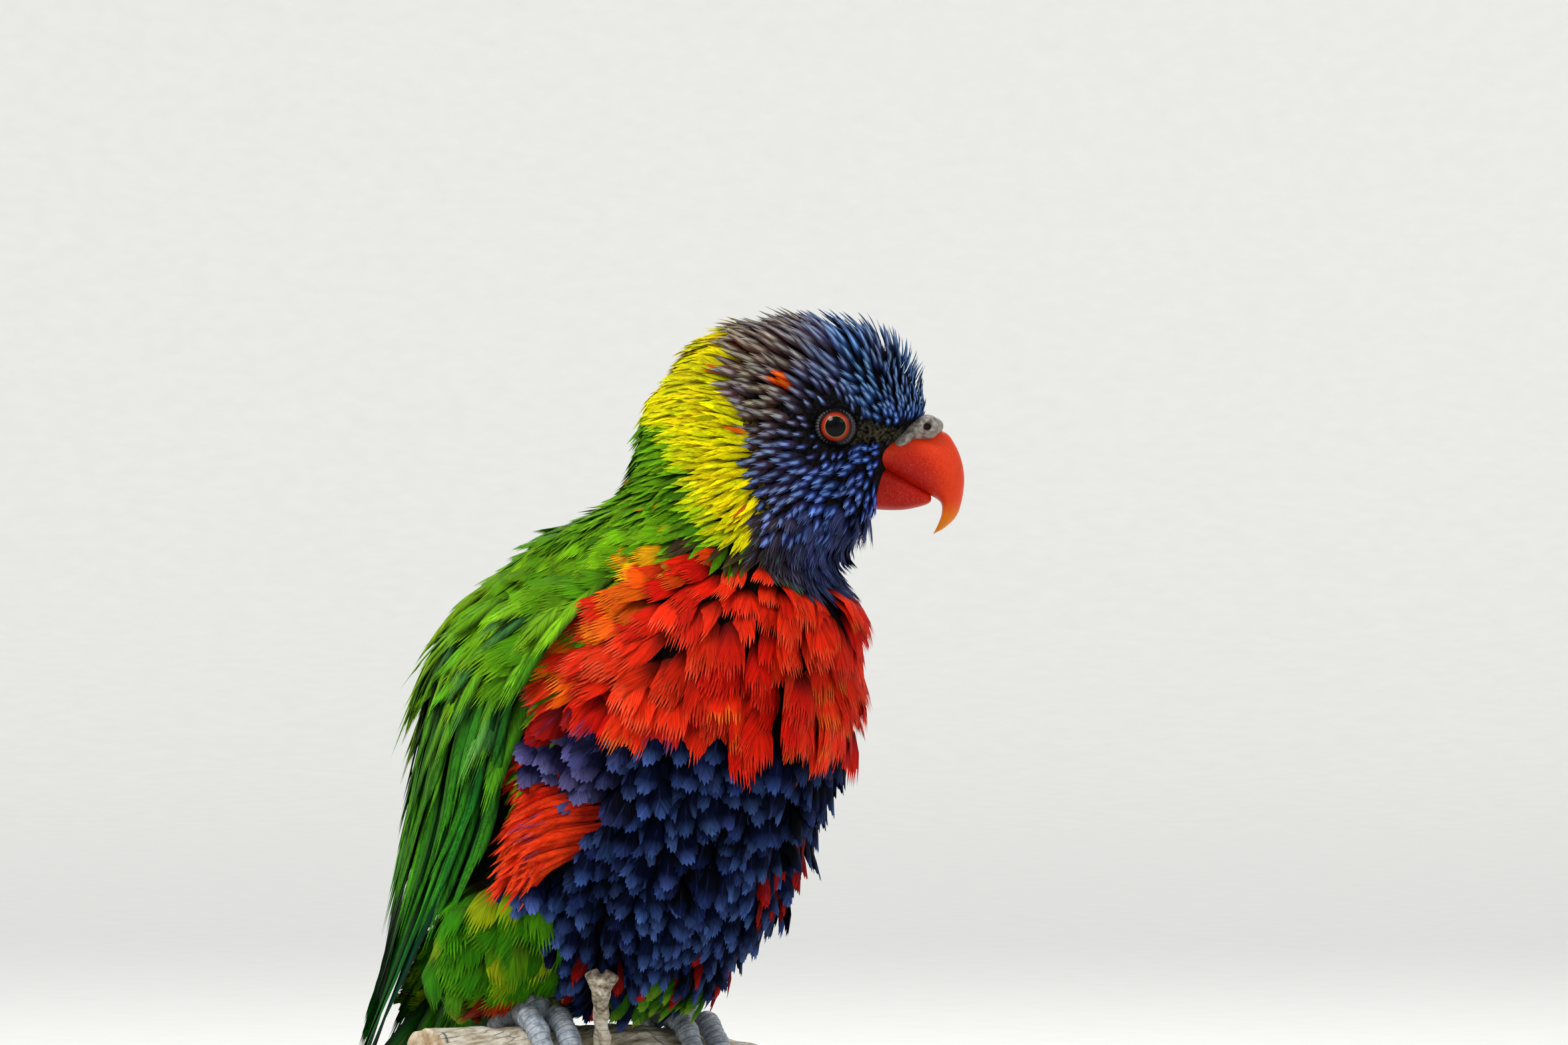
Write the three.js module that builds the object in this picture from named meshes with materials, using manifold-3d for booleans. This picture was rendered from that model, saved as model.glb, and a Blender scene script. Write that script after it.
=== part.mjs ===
// Rainbow lorikeet, life size, perched on a short branch over a plain display stand.
// Millimetres, +Z up. The bird's breast faces +X and its left side is +Y; its head is turned to the left.
// The origin is the middle of the stand's underside.
import * as THREE from "three";
import { mergeVertices } from "three/addons/utils/BufferGeometryUtils.js";
import Module from "manifold-3d";

const wasm = await Module();
wasm.setup();

// Driving sizes

const GAP = 0.3; // between touching pieces
const CURVE_GAP = GAP * 1.3; // left off the rounded body, so that its flat facets also keep GAP
const PERCH_TOP = 103; // height of the branch's upper side under the near foot
const HEAD_TURN = 40; // degrees, to the bird's left
const DEGREE = Math.PI / 180;

const STAND = { length: 124, width: 104, height: 8, corner: 20, bevel: 1.2, rodRadius: 3, rods: [-24, 27] };
const PERCH = { radius: 9.5, yaw: 20, near: -41, far: 47, droop: 0.22, droopOver: 16 };

// Half sizes of the whole plumage in level slices, from the belly to the crown. Heights are above PERCH_TOP.
// x and y are the slice's middle, front and back its reach along the heading, half its reach to each side.
const BODY = [
  { z: 1.2, x: 2, y: 0, front: 0, back: 0, half: 0, yaw: 0 },
  { z: 2.4, x: 1, y: 0, front: 15, back: 15, half: 9, yaw: 0 },
  { z: 6, x: 0, y: 0, front: 25, back: 27, half: 16, yaw: 0 },
  { z: 14, x: 1, y: 0, front: 30, back: 35, half: 22, yaw: 0 },
  { z: 23, x: 3, y: 0, front: 37, back: 40, half: 27, yaw: 0 },
  { z: 40, x: 7, y: 0, front: 41, back: 45, half: 32, yaw: 0 },
  { z: 56, x: 10, y: 0, front: 46, back: 47, half: 34.5, yaw: 0 },
  { z: 70, x: 14, y: 0, front: 44, back: 48, half: 35, yaw: 0 },
  { z: 83, x: 19, y: 0, front: 40, back: 48, half: 32, yaw: 3 },
  { z: 91, x: 23, y: 0, front: 31, back: 43, half: 27, yaw: 10 },
  { z: 98, x: 27, y: 0, front: 32, back: 34, half: 22, yaw: 22 },
  { z: 105, x: 32, y: 3, front: 29.5, back: 25, half: 19, yaw: 34 },
  { z: 113, x: 36, y: 6, front: 27, back: 26, half: 17.5, yaw: 40 },
  { z: 121, x: 38.5, y: 8, front: 29.5, back: 27, half: 16.5, yaw: 40 },
  { z: 129, x: 40, y: 9, front: 26.5, back: 25.5, half: 15, yaw: 40 },
  { z: 135.5, x: 41, y: 9.5, front: 21.5, back: 21.5, half: 12, yaw: 40 },
  { z: 139.5, x: 41, y: 9.5, front: 13, back: 14.5, half: 7.5, yaw: 40 },
  { z: 141, x: 41, y: 9.5, front: 0, back: 0, half: 0, yaw: 40 },
];
const BODY_GRID = { sides: 32, levels: 38 };

// Where the thin cuts part the body: a point on each cut and the way it faces.
const CUTS = {
  belly: { at: [8, 0, 44], normal: [0.5, 0, 0.866] },
  neck: { at: [27, 0, 94], normal: [0.42, 0.12, 0.9] },
  head: { at: [36, 6, 112], normal: [0.78, 0.5, 0.38] },
};

// The bed that the folded wings lie on: the body above, narrowing along the tail below.
const WING_BED = [
  { z: -60, x: -74, front: 6, back: 16, half: 8 },
  { z: -29, x: -52, front: 8, back: 20.5, half: 11 },
  { z: -10, x: -36, front: 12, back: 24, half: 15.5 },
  { z: 8, x: -18, front: 20, back: 32.5, half: 22 },
  { z: 23, x: -4, front: 30, back: 41.5, half: 28 },
  { z: 40, x: 7, front: 41, back: 48, half: 32.5 },
  ...BODY.filter((s) => s.z > 40 && s.z <= 98).map(({ y, yaw, ...bed }) => bed),
];

// The folded wing's lower and upper edges from the shoulder to the tip, as (angle round the bed, height).
const WING_EDGES = {
  lower: [[83, 81], [89, 66], [99, 47], [109, 30], [125, 12], [148, -8], [163, -28]],
  upper: [[152, 85], [166, 70], [171, 48], [171, 22], [170, 0], [168, -16], [166, -31]],
};

// Tiers of one folded wing's feathers, each from the wing's lower edge to its upper one. Roots and tips give
// the angle round the bed from the breast and the height above PERCH_TOP, of the first and the last feather.
// lift is how far the vane's middle stands off the bed at root and tip, and stack how much further each next
// tip stands.
const WING_TIERS = {
  primaries: {
    count: 5,
    root: { angle: [97, 130], z: [55, 53] },
    tip: { angle: [161, 170], z: [-29, 4] },
    width: 9.5,
    lift: [1.5, 1.5],
    stack: 0.9,
    rows: 4,
  },
  secondaries: {
    count: 6,
    root: { angle: [96, 159], z: [60, 58] },
    tip: { angle: [114, 169], z: [17, 27] },
    width: 13,
    lift: [1.6, 3],
    stack: 0.4,
    rows: 3,
  },
  greaterCoverts: {
    count: 6,
    root: { angle: [91, 156], z: [75, 74] },
    tip: { angle: [100, 165], z: [46, 49] },
    width: 13.5,
    lift: [1.6, 4.3],
    stack: 0.1,
    rows: 3,
  },
  medianCoverts: {
    count: 5,
    root: { angle: [89, 148], z: [80, 83] },
    tip: { angle: [94, 158], z: [63, 68] },
    width: 15,
    lift: [1.6, 4.9],
    stack: 0.1,
    rows: 2,
  },
};
const VANE = { thick: 0.55, tilt: 0.6 };
const WING_CORE = { reach: 0.38, lift: 0.8, edge: 1.2, middle: 2 };
const WING_GAP = 0.2; // between the wing's underside and the body's facets

// The tail, its graduated pairs below the middle feathers, and the coverts over and under its root.
const TAIL = {
  root: [-38, 0, 16],
  lean: 33,
  length: 122,
  width: 9.5,
  pairs: 4,
  step: 0.95,
  shorter: 17,
  spread: 3.1,
  dish: 0.12,
  core: { along: 4, reach: 15, half: 8.5, back: -1.5, thick: 5 },
  covertWidth: 12,
};
const TAIL_COVERTS = [
  { fan: 0, length: 46, back: 2.6 },
  { fan: 5.5, length: 38, back: 1.6 },
  { fan: -5.5, length: 38, back: 1.6 },
  { fan: 0, length: 48, back: -5.2 },
  { fan: 5, length: 40, back: -4.2 },
  { fan: -5, length: 40, back: -4.2 },
];

// The head's own directions and the eye, all seen from the head's right side.
const AHEAD = new THREE.Vector3(Math.cos(HEAD_TURN * DEGREE), Math.sin(HEAD_TURN * DEGREE), 0);
const HEAD_LEFT = new THREE.Vector3(-AHEAD.y, AHEAD.x, 0);
const HEAD_MIDLINE = -18.6; // how far the head's middle plane lies to the left of the origin
const EYE = { ahead: 45.6, z: 118.9, globe: 4.6, side: 11.7 };
const LID = { side: 14.45, ring: 3.65, thick: 0.7, dish: 9, dishSide: 22.2 };
const CERE = { ahead: 62.6, z: 118.7, reach: 4.6, half: 5.6, rise: 2.7, swelling: 2.35, swellingSide: 3.4 };
const NOSTRIL = { ahead: 63.8, z: 119, radius: 0.85, side: 6.4 };

// Side profiles of the bill, as (ahead, height) from base to tip, and its half widths.
const CULMEN = [
  [55, 118], [61, 118.6], [66.8, 118.2], [69.4, 115.4], [70.9, 111.3], [71.1, 107],
  [69.9, 101.9], [67.4, 99.1], [65.2, 97.9],
];
const TOMIUM = [
  [54, 112], [56.6, 110.9], [59.4, 108.9], [62.3, 107.2], [65, 105.9], [66.6, 104.2],
  [66.7, 101.8], [65.9, 99.6], [64.8, 97.6],
];
const GONYS = [[54, 102.8], [57, 102.5], [60, 102.7], [62.6, 103.2], [64.8, 104]];
const GAPE = [[54, 111.4], [56.6, 110.3], [59.2, 108.4], [61.9, 106.7], [64.6, 105.3]];
const BILL = { upperHalf: 6.3, tipHalf: 0.35, lowerHalf: 5.3, ridge: 0.28 };

// Materials

function finish(color, roughness, metalness = 0) {
  return new THREE.MeshStandardMaterial({ color, roughness, metalness });
}
const MATERIALS = {
  head: finish("#33477f", 0.7),
  collar: finish("#b9c71d", 0.75),
  breast: finish("#e2381b", 0.7),
  belly: finish("#232c63", 0.7),
  wing: finish("#2f8c1c", 0.6),
  tail: finish("#1e6e22", 0.6),
  thigh: finish("#5d961f", 0.75),
  bill: finish("#e02f12", 0.35),
  cere: finish("#5d5a5c", 0.7),
  eye: finish("#15100f", 0.1),
  foot: finish("#83868c", 0.7),
  claw: finish("#3a3a3f", 0.45),
  bark: finish("#bba98a", 0.9),
  base: finish("#3a2a20", 0.5),
  rod: finish("#8d8f92", 0.35, 1),
};

// Solids and their joins

// A closed geometry as a solid, turned the right way out.
function solid(geometry) {
  for (const name of Object.keys(geometry.attributes)) {
    if (name !== "position") geometry.deleteAttribute(name);
  }
  const merged = mergeVertices(geometry, 1e-5);
  const vertProperties = new Float32Array(merged.attributes.position.array);
  const make = (triVerts) => new wasm.Manifold(new wasm.Mesh({ numProp: 3, vertProperties, triVerts }));
  const made = make(new Uint32Array(merged.index.array));
  return made.volume() > 0 ? made : make(new Uint32Array(merged.index.array).reverse());
}

// A three.js geometry with every point moved to where place says.
function shaped(geometry, place) {
  for (const name of ["normal", "uv"]) geometry.deleteAttribute(name);
  const merged = mergeVertices(geometry, 1e-5);
  const points = merged.attributes.position;
  const point = new THREE.Vector3();
  for (let i = 0; i < points.count; i += 1) {
    const moved = place(point.fromBufferAttribute(points, i).clone());
    points.setXYZ(i, moved.x, moved.y, moved.z);
  }
  return solid(merged);
}

const joined = (pieces) => pieces.reduce((whole, piece) => whole.add(piece));
const larger = (one, other) => (other.volume() > one.volume() ? other : one);
const largest = (form) => form.decompose().reduce(larger);
const carved = (form, ...others) => largest(others.reduce((left, other) => left.subtract(other), form));

// Both sides of a plane, kept GAP apart: the side that the normal points to, then the other.
function parted(form, { at, normal }) {
  const reach = 400;
  const facing = new THREE.Vector3(...normal).normalize();
  const turn = new THREE.Quaternion().setFromUnitVectors(new THREE.Vector3(0, 0, 1), facing);
  const half = (side) => {
    const block = new THREE.BoxGeometry(reach, reach, reach);
    block.translate(0, 0, (side * (reach + GAP)) / 2);
    block.applyQuaternion(turn);
    block.translate(at[0], at[1], at[2] + PERCH_TOP);
    return solid(block);
  };
  return [largest(form.intersect(half(1))), largest(form.intersect(half(-1)))];
}

const smooth = (t) => t * t * (3 - 2 * t);
const clamp = (value, low = 0, high = 1) => Math.min(high, Math.max(low, value));
const mix = THREE.MathUtils.lerp;

// A station between the stations given, with every field on a smooth curve through them.
function stationAt(stations, z) {
  const last = stations.length - 2;
  let i = 0;
  while (i < last && z > stations[i + 1].z) i += 1;
  const [a, b] = [stations[i], stations[i + 1]];
  const [before, after] = [stations[Math.max(0, i - 1)], stations[Math.min(last + 1, i + 2)]];
  const span = b.z - a.z;
  const t = (z - a.z) / span;
  const found = {};
  for (const key of Object.keys(a)) {
    const slopeA = before === a ? (b[key] - a[key]) / span : (b[key] - before[key]) / (b.z - before.z);
    const slopeB = after === b ? (b[key] - a[key]) / span : (after[key] - a[key]) / (after.z - a.z);
    const rise = (2 * t ** 3 - 3 * t ** 2 + 1) * a[key] + (3 * t ** 2 - 2 * t ** 3) * b[key];
    found[key] = rise + span * ((t ** 3 - 2 * t ** 2 + t) * slopeA + (t ** 3 - t ** 2) * slopeB);
  }
  return found;
}

// A point of a level slice: angle 0 is ahead, 90 to the left, 180 behind.
function slicePoint(station, degrees, grow = 0) {
  const angle = degrees * DEGREE;
  const heading = (station.yaw ?? 0) * DEGREE;
  const along = Math.cos(angle) * (grow + (Math.cos(angle) > 0 ? station.front : station.back));
  const aside = Math.sin(angle) * (grow + station.half);
  return new THREE.Vector3(
    station.x + along * Math.cos(heading) - aside * Math.sin(heading),
    (station.y ?? 0) + along * Math.sin(heading) + aside * Math.cos(heading),
    station.z + PERCH_TOP,
  );
}

// A closed solid along a smooth path, with its radius given along it.
function limb(points, radius, { sides, steps }) {
  const path = new THREE.CatmullRomCurve3(points);
  const frames = path.computeFrenetFrames(steps);
  return shaped(new THREE.CylinderGeometry(1, 1, 1, sides, steps), (p) => {
    const t = p.y + 0.5;
    const i = Math.round(t * steps);
    const r = radius(t);
    return path
      .getPointAt(t)
      .addScaledVector(frames.normals[i], p.x * r)
      .addScaledVector(frames.binormals[i], p.z * r);
  });
}

// A thin plate of columns by rows cells. place gives the middle of the plate and its outward normal at
// (across, along), and thick gives its thickness there. Both faces are split into triangles alike.
function plate(columns, rows, place, thick) {
  const points = [];
  const faces = [];
  const index = (side, i, j) => side * (columns + 1) * (rows + 1) + j * (columns + 1) + i;
  for (const side of [0, 1]) {
    for (let j = 0; j <= rows; j += 1) {
      for (let i = 0; i <= columns; i += 1) {
        const { middle, normal } = place(i / columns, j / rows);
        const half = (side ? 0.5 : -0.5) * thick(i / columns, j / rows);
        points.push(...middle.clone().addScaledVector(normal, half).toArray());
      }
    }
  }
  const quad = (a, b, c, d) => faces.push(a, b, c, a, c, d);
  for (let j = 0; j < rows; j += 1) {
    for (let i = 0; i < columns; i += 1) {
      const [a, b, c, d] = [[i, j], [i + 1, j], [i + 1, j + 1], [i, j + 1]];
      quad(...[a, b, c, d].map((corner) => index(1, ...corner)));
      const [e, f, g, h] = [a, b, c, d].map((corner) => index(0, ...corner));
      faces.push(e, g, f, e, h, g);
    }
    quad(index(0, 0, j), index(1, 0, j), index(1, 0, j + 1), index(0, 0, j + 1));
    quad(index(1, columns, j), index(0, columns, j), index(0, columns, j + 1), index(1, columns, j + 1));
  }
  for (let i = 0; i < columns; i += 1) {
    quad(index(1, i, 0), index(0, i, 0), index(0, i + 1, 0), index(1, i + 1, 0));
    quad(index(0, i, rows), index(1, i, rows), index(1, i + 1, rows), index(0, i + 1, rows));
  }
  const geometry = new THREE.BufferGeometry();
  geometry.setAttribute("position", new THREE.Float32BufferAttribute(points, 3));
  geometry.setIndex(faces);
  return solid(geometry);
}

// The body: one form, then thin cuts

function bodyForm(grow = 0) {
  const [low, high] = [BODY[0].z, BODY[BODY.length - 1].z];
  return shaped(new THREE.SphereGeometry(1, BODY_GRID.sides, BODY_GRID.levels), (p) => {
    const even = 1 - Math.acos(clamp(p.y, -1, 1)) / Math.PI;
    const closerAtEnds = 0.5 - 0.5 * Math.cos(Math.PI * even);
    const station = stationAt(BODY, mix(low, high, mix(even, closerAtEnds, 0.6)));
    if (Math.hypot(p.x, p.z) < 1e-4) return slicePoint(station, 0).add(new THREE.Vector3(0, 0, p.y * grow));
    return slicePoint(station, Math.atan2(-p.z, p.x) / DEGREE, grow);
  });
}

// The head

const headPoint = (ahead, left, z) =>
  AHEAD.clone().multiplyScalar(ahead).addScaledVector(HEAD_LEFT, HEAD_MIDLINE + left).setZ(z + PERCH_TOP);

function ball(centre, radius, sides = 20) {
  const geometry = new THREE.SphereGeometry(radius, sides, Math.round(sides * 0.6));
  return solid(geometry.translate(...centre.toArray()));
}

// The raised lids round one eye, as a ring.
function lidRing(side) {
  const centre = headPoint(EYE.ahead, side * LID.side, EYE.z);
  const ring = new THREE.TorusGeometry(LID.ring, LID.thick, 6, 18);
  ring.applyQuaternion(new THREE.Quaternion().setFromUnitVectors(new THREE.Vector3(0, 0, 1), HEAD_LEFT));
  return solid(ring.translate(...centre.toArray()));
}

// A half of the bill between its upper and lower side profile, both from base to tip.
function billForm(upper, lower, width, { ridge = 0, grow = 0 } = {}) {
  const curve = (profile) => {
    const points = profile.map(([ahead, z]) => new THREE.Vector3(ahead, 0, z));
    return new THREE.CatmullRomCurve3(points);
  };
  const [top, bottom] = [curve(upper), curve(lower)];
  return shaped(new THREE.CylinderGeometry(1, 1, 1, 14, 11), (p) => {
    const t = p.y + 0.5;
    const [high, low] = [top.getPointAt(t), bottom.getPointAt(t)];
    const half = high.clone().sub(low).multiplyScalar(0.5);
    const middle = high.add(low).multiplyScalar(0.5).addScaledVector(half, p.x * (1 + grow / half.length()));
    const left = p.z * (width(t) + grow) * (1 - ridge * Math.max(0, p.x));
    return headPoint(middle.x, left, middle.z);
  });
}

function upperBill(grow = 0) {
  const width = (t) => BILL.upperHalf * (1 - t ** 2.2) + BILL.tipHalf;
  return billForm(CULMEN, TOMIUM, width, { ridge: BILL.ridge, grow });
}

const lowerBill = () => billForm(GAPE, GONYS, (t) => BILL.lowerHalf * (1 - 0.45 * t ** 2));

// The fleshy cere over the bill's base, swollen round each nostril.
function cereForm(grow = 0) {
  const roll = shaped(new THREE.SphereGeometry(1, 12, 8), (p) => {
    const ahead = CERE.ahead + p.x * (CERE.reach + grow);
    return headPoint(ahead, p.z * (CERE.half + grow), CERE.z + p.y * (CERE.rise + grow));
  });
  const swelling = (side) => {
    const centre = headPoint(NOSTRIL.ahead, side * CERE.swellingSide, NOSTRIL.z);
    return ball(centre, CERE.swelling + grow, 10);
  };
  return joined([roll, swelling(1), swelling(-1)]);
}

function nostril(side) {
  const bore = new THREE.CylinderGeometry(NOSTRIL.radius, NOSTRIL.radius, 4, 8);
  const outward = HEAD_LEFT.clone().multiplyScalar(side);
  bore.applyQuaternion(new THREE.Quaternion().setFromUnitVectors(new THREE.Vector3(0, 1, 0), outward));
  const mouth = headPoint(NOSTRIL.ahead, side * NOSTRIL.side, NOSTRIL.z);
  return solid(bore.translate(...mouth.toArray()));
}

// Feathers

// A vane's outline: full over most of its length, rounded to a narrow tip.
const vaneWidth = (along) => Math.sqrt(clamp(1 - ((along - 0.45) / 0.57) ** 2, 0.04, 1));

// One vane laid on the wing bed. root and tip are { angle, z }, and side is 1 for the left wing, else -1.
function bedVane({ root, tip, width, lift, side, rows }) {
  const spot = (along, aside) => {
    const station = stationAt(WING_BED, mix(root.z, tip.z, along));
    const point = slicePoint(station, mix(root.angle, tip.angle, along) + aside);
    return new THREE.Vector3(point.x, point.y * side, point.z);
  };
  const place = (across, along) => {
    const middle = spot(along, 0);
    const forward = spot(Math.min(1, along + 0.02), 0).sub(spot(Math.max(0, along - 0.02), 0)).normalize();
    const round = spot(along, 1).sub(spot(along, -1)).normalize();
    const normal = forward.clone().cross(round).normalize();
    if (normal.dot(new THREE.Vector3(-0.3, side, 0)) < 0) normal.negate();
    const sideways = round.addScaledVector(forward, -round.dot(forward)).normalize();
    const u = 2 * across - 1;
    const stand = mix(lift[0], lift[1], along) - VANE.tilt * u;
    middle.addScaledVector(sideways, (u * width * vaneWidth(along)) / 2).addScaledVector(normal, stand);
    return { middle, normal };
  };
  return plate(1, rows, place, () => VANE.thick);
}

function tierVanes(tier, side) {
  return Array.from({ length: tier.count }, (_, i) => {
    const share = i / (tier.count - 1);
    const end = ({ angle, z }) => ({ angle: mix(...angle, share), z: mix(...z, share) });
    const lift = [tier.lift[0], tier.lift[1] + tier.stack * i];
    return bedVane({ ...tier, root: end(tier.root), tip: end(tier.tip), lift, side });
  });
}

// The padded part of the wing, between its edges as far as reach, that the roots of its feathers are sunk in.
function wingCore(side) {
  const edge = (pairs) => {
    const points = pairs.map(([angle, z]) => new THREE.Vector3(angle, z, 0));
    return new THREE.CatmullRomCurve3(points);
  };
  const [lower, upper] = [edge(WING_EDGES.lower), edge(WING_EDGES.upper)];
  const thick = (across, along) => {
    const fullness = Math.sin(Math.PI * across) * (1 - along ** 2);
    return mix(WING_CORE.edge, WING_CORE.middle, fullness);
  };
  const place = (across, along) => {
    const reached = WING_CORE.reach * along;
    const spot = lower.getPoint(reached).lerp(upper.getPoint(reached), across);
    const station = stationAt(WING_BED, spot.y);
    const point = slicePoint(station, spot.x);
    const normal = slicePoint(station, spot.x, 1).sub(point).normalize();
    point.addScaledVector(normal, WING_CORE.lift + thick(across, along) / 2);
    return { middle: point.setY(point.y * side), normal: normal.setY(normal.y * side) };
  };
  return plate(5, 4, place, thick);
}

function wingForm(side) {
  return joined([wingCore(side), ...Object.values(WING_TIERS).flatMap((tier) => tierVanes(tier, side))]);
}

// The tail: a middle vane with pairs beside and below it, over a short core. Coverts lie above and below its
// root.
const TAIL_BACK = new THREE.Vector3(-Math.cos(TAIL.lean * DEGREE), 0, Math.sin(TAIL.lean * DEGREE));
const TAIL_ALONG = new THREE.Vector3(-Math.sin(TAIL.lean * DEGREE), 0, -Math.cos(TAIL.lean * DEGREE));
const tailPoint = (along, left, back) =>
  new THREE.Vector3(TAIL.root[0], TAIL.root[1] + left, TAIL.root[2] + PERCH_TOP)
    .addScaledVector(TAIL_ALONG, along)
    .addScaledVector(TAIL_BACK, back);

function tailVane({ length, width, fan, back, start = 0 }) {
  const place = (across, along) => {
    const u = 2 * across - 1;
    const left = fan * smooth(clamp(along * 1.6)) + (u * width * vaneWidth(0.12 + 0.88 * along)) / 2;
    const middle = tailPoint(start + length * along, left, back - TAIL.dish * Math.abs(left));
    return { middle, normal: TAIL_BACK };
  };
  return plate(1, 3, place, () => VANE.thick);
}

function tailForm() {
  const vanes = [tailVane({ length: TAIL.length, width: TAIL.width, fan: 0, back: 0.6 })];
  for (let pair = 1; pair <= TAIL.pairs; pair += 1) {
    for (const side of [-1, 1]) {
      const length = TAIL.length - TAIL.shorter * pair;
      const fan = side * (2 + TAIL.spread * pair);
      vanes.push(tailVane({ length, width: TAIL.width, fan, back: 0.6 - TAIL.step * pair }));
    }
  }
  const coverts = TAIL_COVERTS.map((covert) => tailVane({ ...covert, width: TAIL.covertWidth, start: -6 }));
  const { along, reach, half, back, thick } = TAIL.core;
  const core = shaped(new THREE.SphereGeometry(1, 10, 8), (p) =>
    tailPoint(along + p.y * reach, p.x * half, back + p.z * thick),
  );
  return joined([core, ...vanes, ...coverts]);
}

// Legs and feet

const PERCH_AXIS = new THREE.Vector3(Math.sin(PERCH.yaw * DEGREE), Math.cos(PERCH.yaw * DEGREE), 0);
const PERCH_AHEAD = new THREE.Vector3(Math.cos(PERCH.yaw * DEGREE), -Math.sin(PERCH.yaw * DEGREE), 0);
const FEET = { spacing: 17, toeGap: 3.1, toeRadius: 2.5, clawRadius: 1.15, padRadius: 4.2, shankRadius: 2.7 };
const THIGH = { top: [2, 21, 38], bottom: [-17, 20, 3], reach: 17, half: 12.5, cap: 3 };
const TOES = [
  { name: "1", side: -1, from: -14, to: -72, claw: 30 },
  { name: "2", side: -1, from: 14, to: 74, claw: 32 },
  { name: "3", side: 1, from: 14, to: 94, claw: 32 },
  { name: "4", side: 1, from: -14, to: -88, claw: 30 },
];

// How far the branch hangs below its height at the near foot.
function droopAt(along) {
  return along > 0 ? PERCH.droop * (Math.hypot(along, PERCH.droopOver) - PERCH.droopOver) : 0;
}

// A point round the branch: along it, at degrees ahead of its upper side, at a distance from its middle line.
function roundPerch(along, degrees, distance) {
  return PERCH_AXIS.clone()
    .multiplyScalar(along)
    .addScaledVector(PERCH_AHEAD, distance * Math.sin(degrees * DEGREE))
    .setZ(PERCH_TOP - PERCH.radius - droopAt(along) + distance * Math.cos(degrees * DEGREE));
}

// Points along a toe or claw that is wrapped round the branch.
function wrap(along, from, to, distance, count = 6) {
  return Array.from({ length: count }, (_, i) => {
    const share = i / (count - 1);
    return roundPerch(along, mix(from, to, share), distance(share));
  });
}

function toeForm(foot, toe, grow) {
  const along = foot * FEET.spacing + toe.side * FEET.toeGap;
  const distance = (share) => PERCH.radius + GAP + FEET.toeRadius * mix(1.05, 0.82, share);
  const knuckles = (t) => FEET.toeRadius * mix(1, 0.78, t) * (1 - 0.07 * Math.cos(6 * Math.PI * t)) + grow;
  return limb(wrap(along, toe.from, toe.to, distance), knuckles, { sides: 6, steps: 6 });
}

function clawForm(foot, toe) {
  const along = foot * FEET.spacing + toe.side * FEET.toeGap;
  const turn = Math.sign(toe.to);
  const start = toe.to + turn * 3.5;
  const distance = (share) => PERCH.radius + GAP + mix(2.5, 0.6, share ** 1.4);
  const path = wrap(along, start, toe.to + turn * toe.claw, distance);
  return limb(path, (t) => mix(FEET.clawRadius, 0.28, t), { sides: 6, steps: 3 });
}

// The shank runs back and up from the foot to the heel, inside the thigh's feathers.
const shankPath = (foot) => {
  const sole = roundPerch(foot * FEET.spacing, -4, PERCH.radius + 3.6);
  const heel = sole.clone().add(new THREE.Vector3(-11, foot * 1.5, 6.5));
  return [sole, sole.clone().lerp(heel, 0.5).add(new THREE.Vector3(0, 0, 0.8)), heel];
};

function footForm(foot, grow = 0) {
  const pad = ball(roundPerch(foot * FEET.spacing, 0, PERCH.radius + 3), FEET.padRadius + grow, 10);
  const shank = limb(shankPath(foot), () => FEET.shankRadius + grow, { sides: 9, steps: 3 });
  return joined([pad, shank, ...TOES.map((toe) => toeForm(foot, toe, grow))]);
}

// The thigh's feather trousers, leaning back from the flank to the heel.
function thighForm(side, grow = 0) {
  const end = ([x, y, z]) => new THREE.Vector3(x, y * side, z + PERCH_TOP);
  const [top, bottom] = [end(THIGH.top), end(THIGH.bottom)];
  return shaped(new THREE.SphereGeometry(1, 16, 12), (p) => {
    const t = 0.5 - 0.5 * p.y;
    const fullness = 1 - 0.1 * t;
    const ahead = p.x * (THIGH.reach * fullness + grow);
    const aside = p.z * (THIGH.half * fullness + grow);
    return top.clone().lerp(bottom, t).add(new THREE.Vector3(ahead, aside, p.y * (THIGH.cap + grow)));
  });
}

// The branch and the stand

// The bark's swellings: radius over the plain radius, by place along and round the branch.
function barkSwell(along, angle) {
  const knots = [[-33, 200, 0.16], [9, 20, 0.1], [30, 140, 0.18]];
  const swell = knots.reduce((sum, [at, towards, size]) => {
    const turn = (((angle - towards) % 360) + 540) % 360 - 180;
    return sum + size * Math.exp(-(((along - at) / 6) ** 2) - (turn / 60) ** 2);
  }, 0);
  const waves = 0.025 * Math.sin(along * 0.31 + angle * 0.035) + 0.02 * Math.sin(along * 0.83 - angle * 0.07);
  return 1 + swell + waves;
}

// The branch, kept to its plain radius where the toes hold it.
function branchForm(grow = 0) {
  return shaped(new THREE.CylinderGeometry(1, 1, 1, 14, 16), (p) => {
    const ring = Math.hypot(p.x, p.z);
    const angle = Math.atan2(p.x, p.z) / DEGREE;
    const taper = 1 - 0.06 * (p.y + 0.5);
    const ragged = Math.abs(p.y) > 0.49 && ring > 0.1 ? 0.8 * Math.sin(angle * 3 * DEGREE) : 0;
    const along = mix(PERCH.near, PERCH.far, p.y + 0.5) + ragged;
    const under = Math.min(1, barkSwell(along, angle));
    const swell = Math.abs(angle) < 60 || Math.abs(angle) > 130 ? under : barkSwell(along, angle);
    return roundPerch(along, angle, ring * (PERCH.radius * taper * swell + grow));
  });
}

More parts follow.
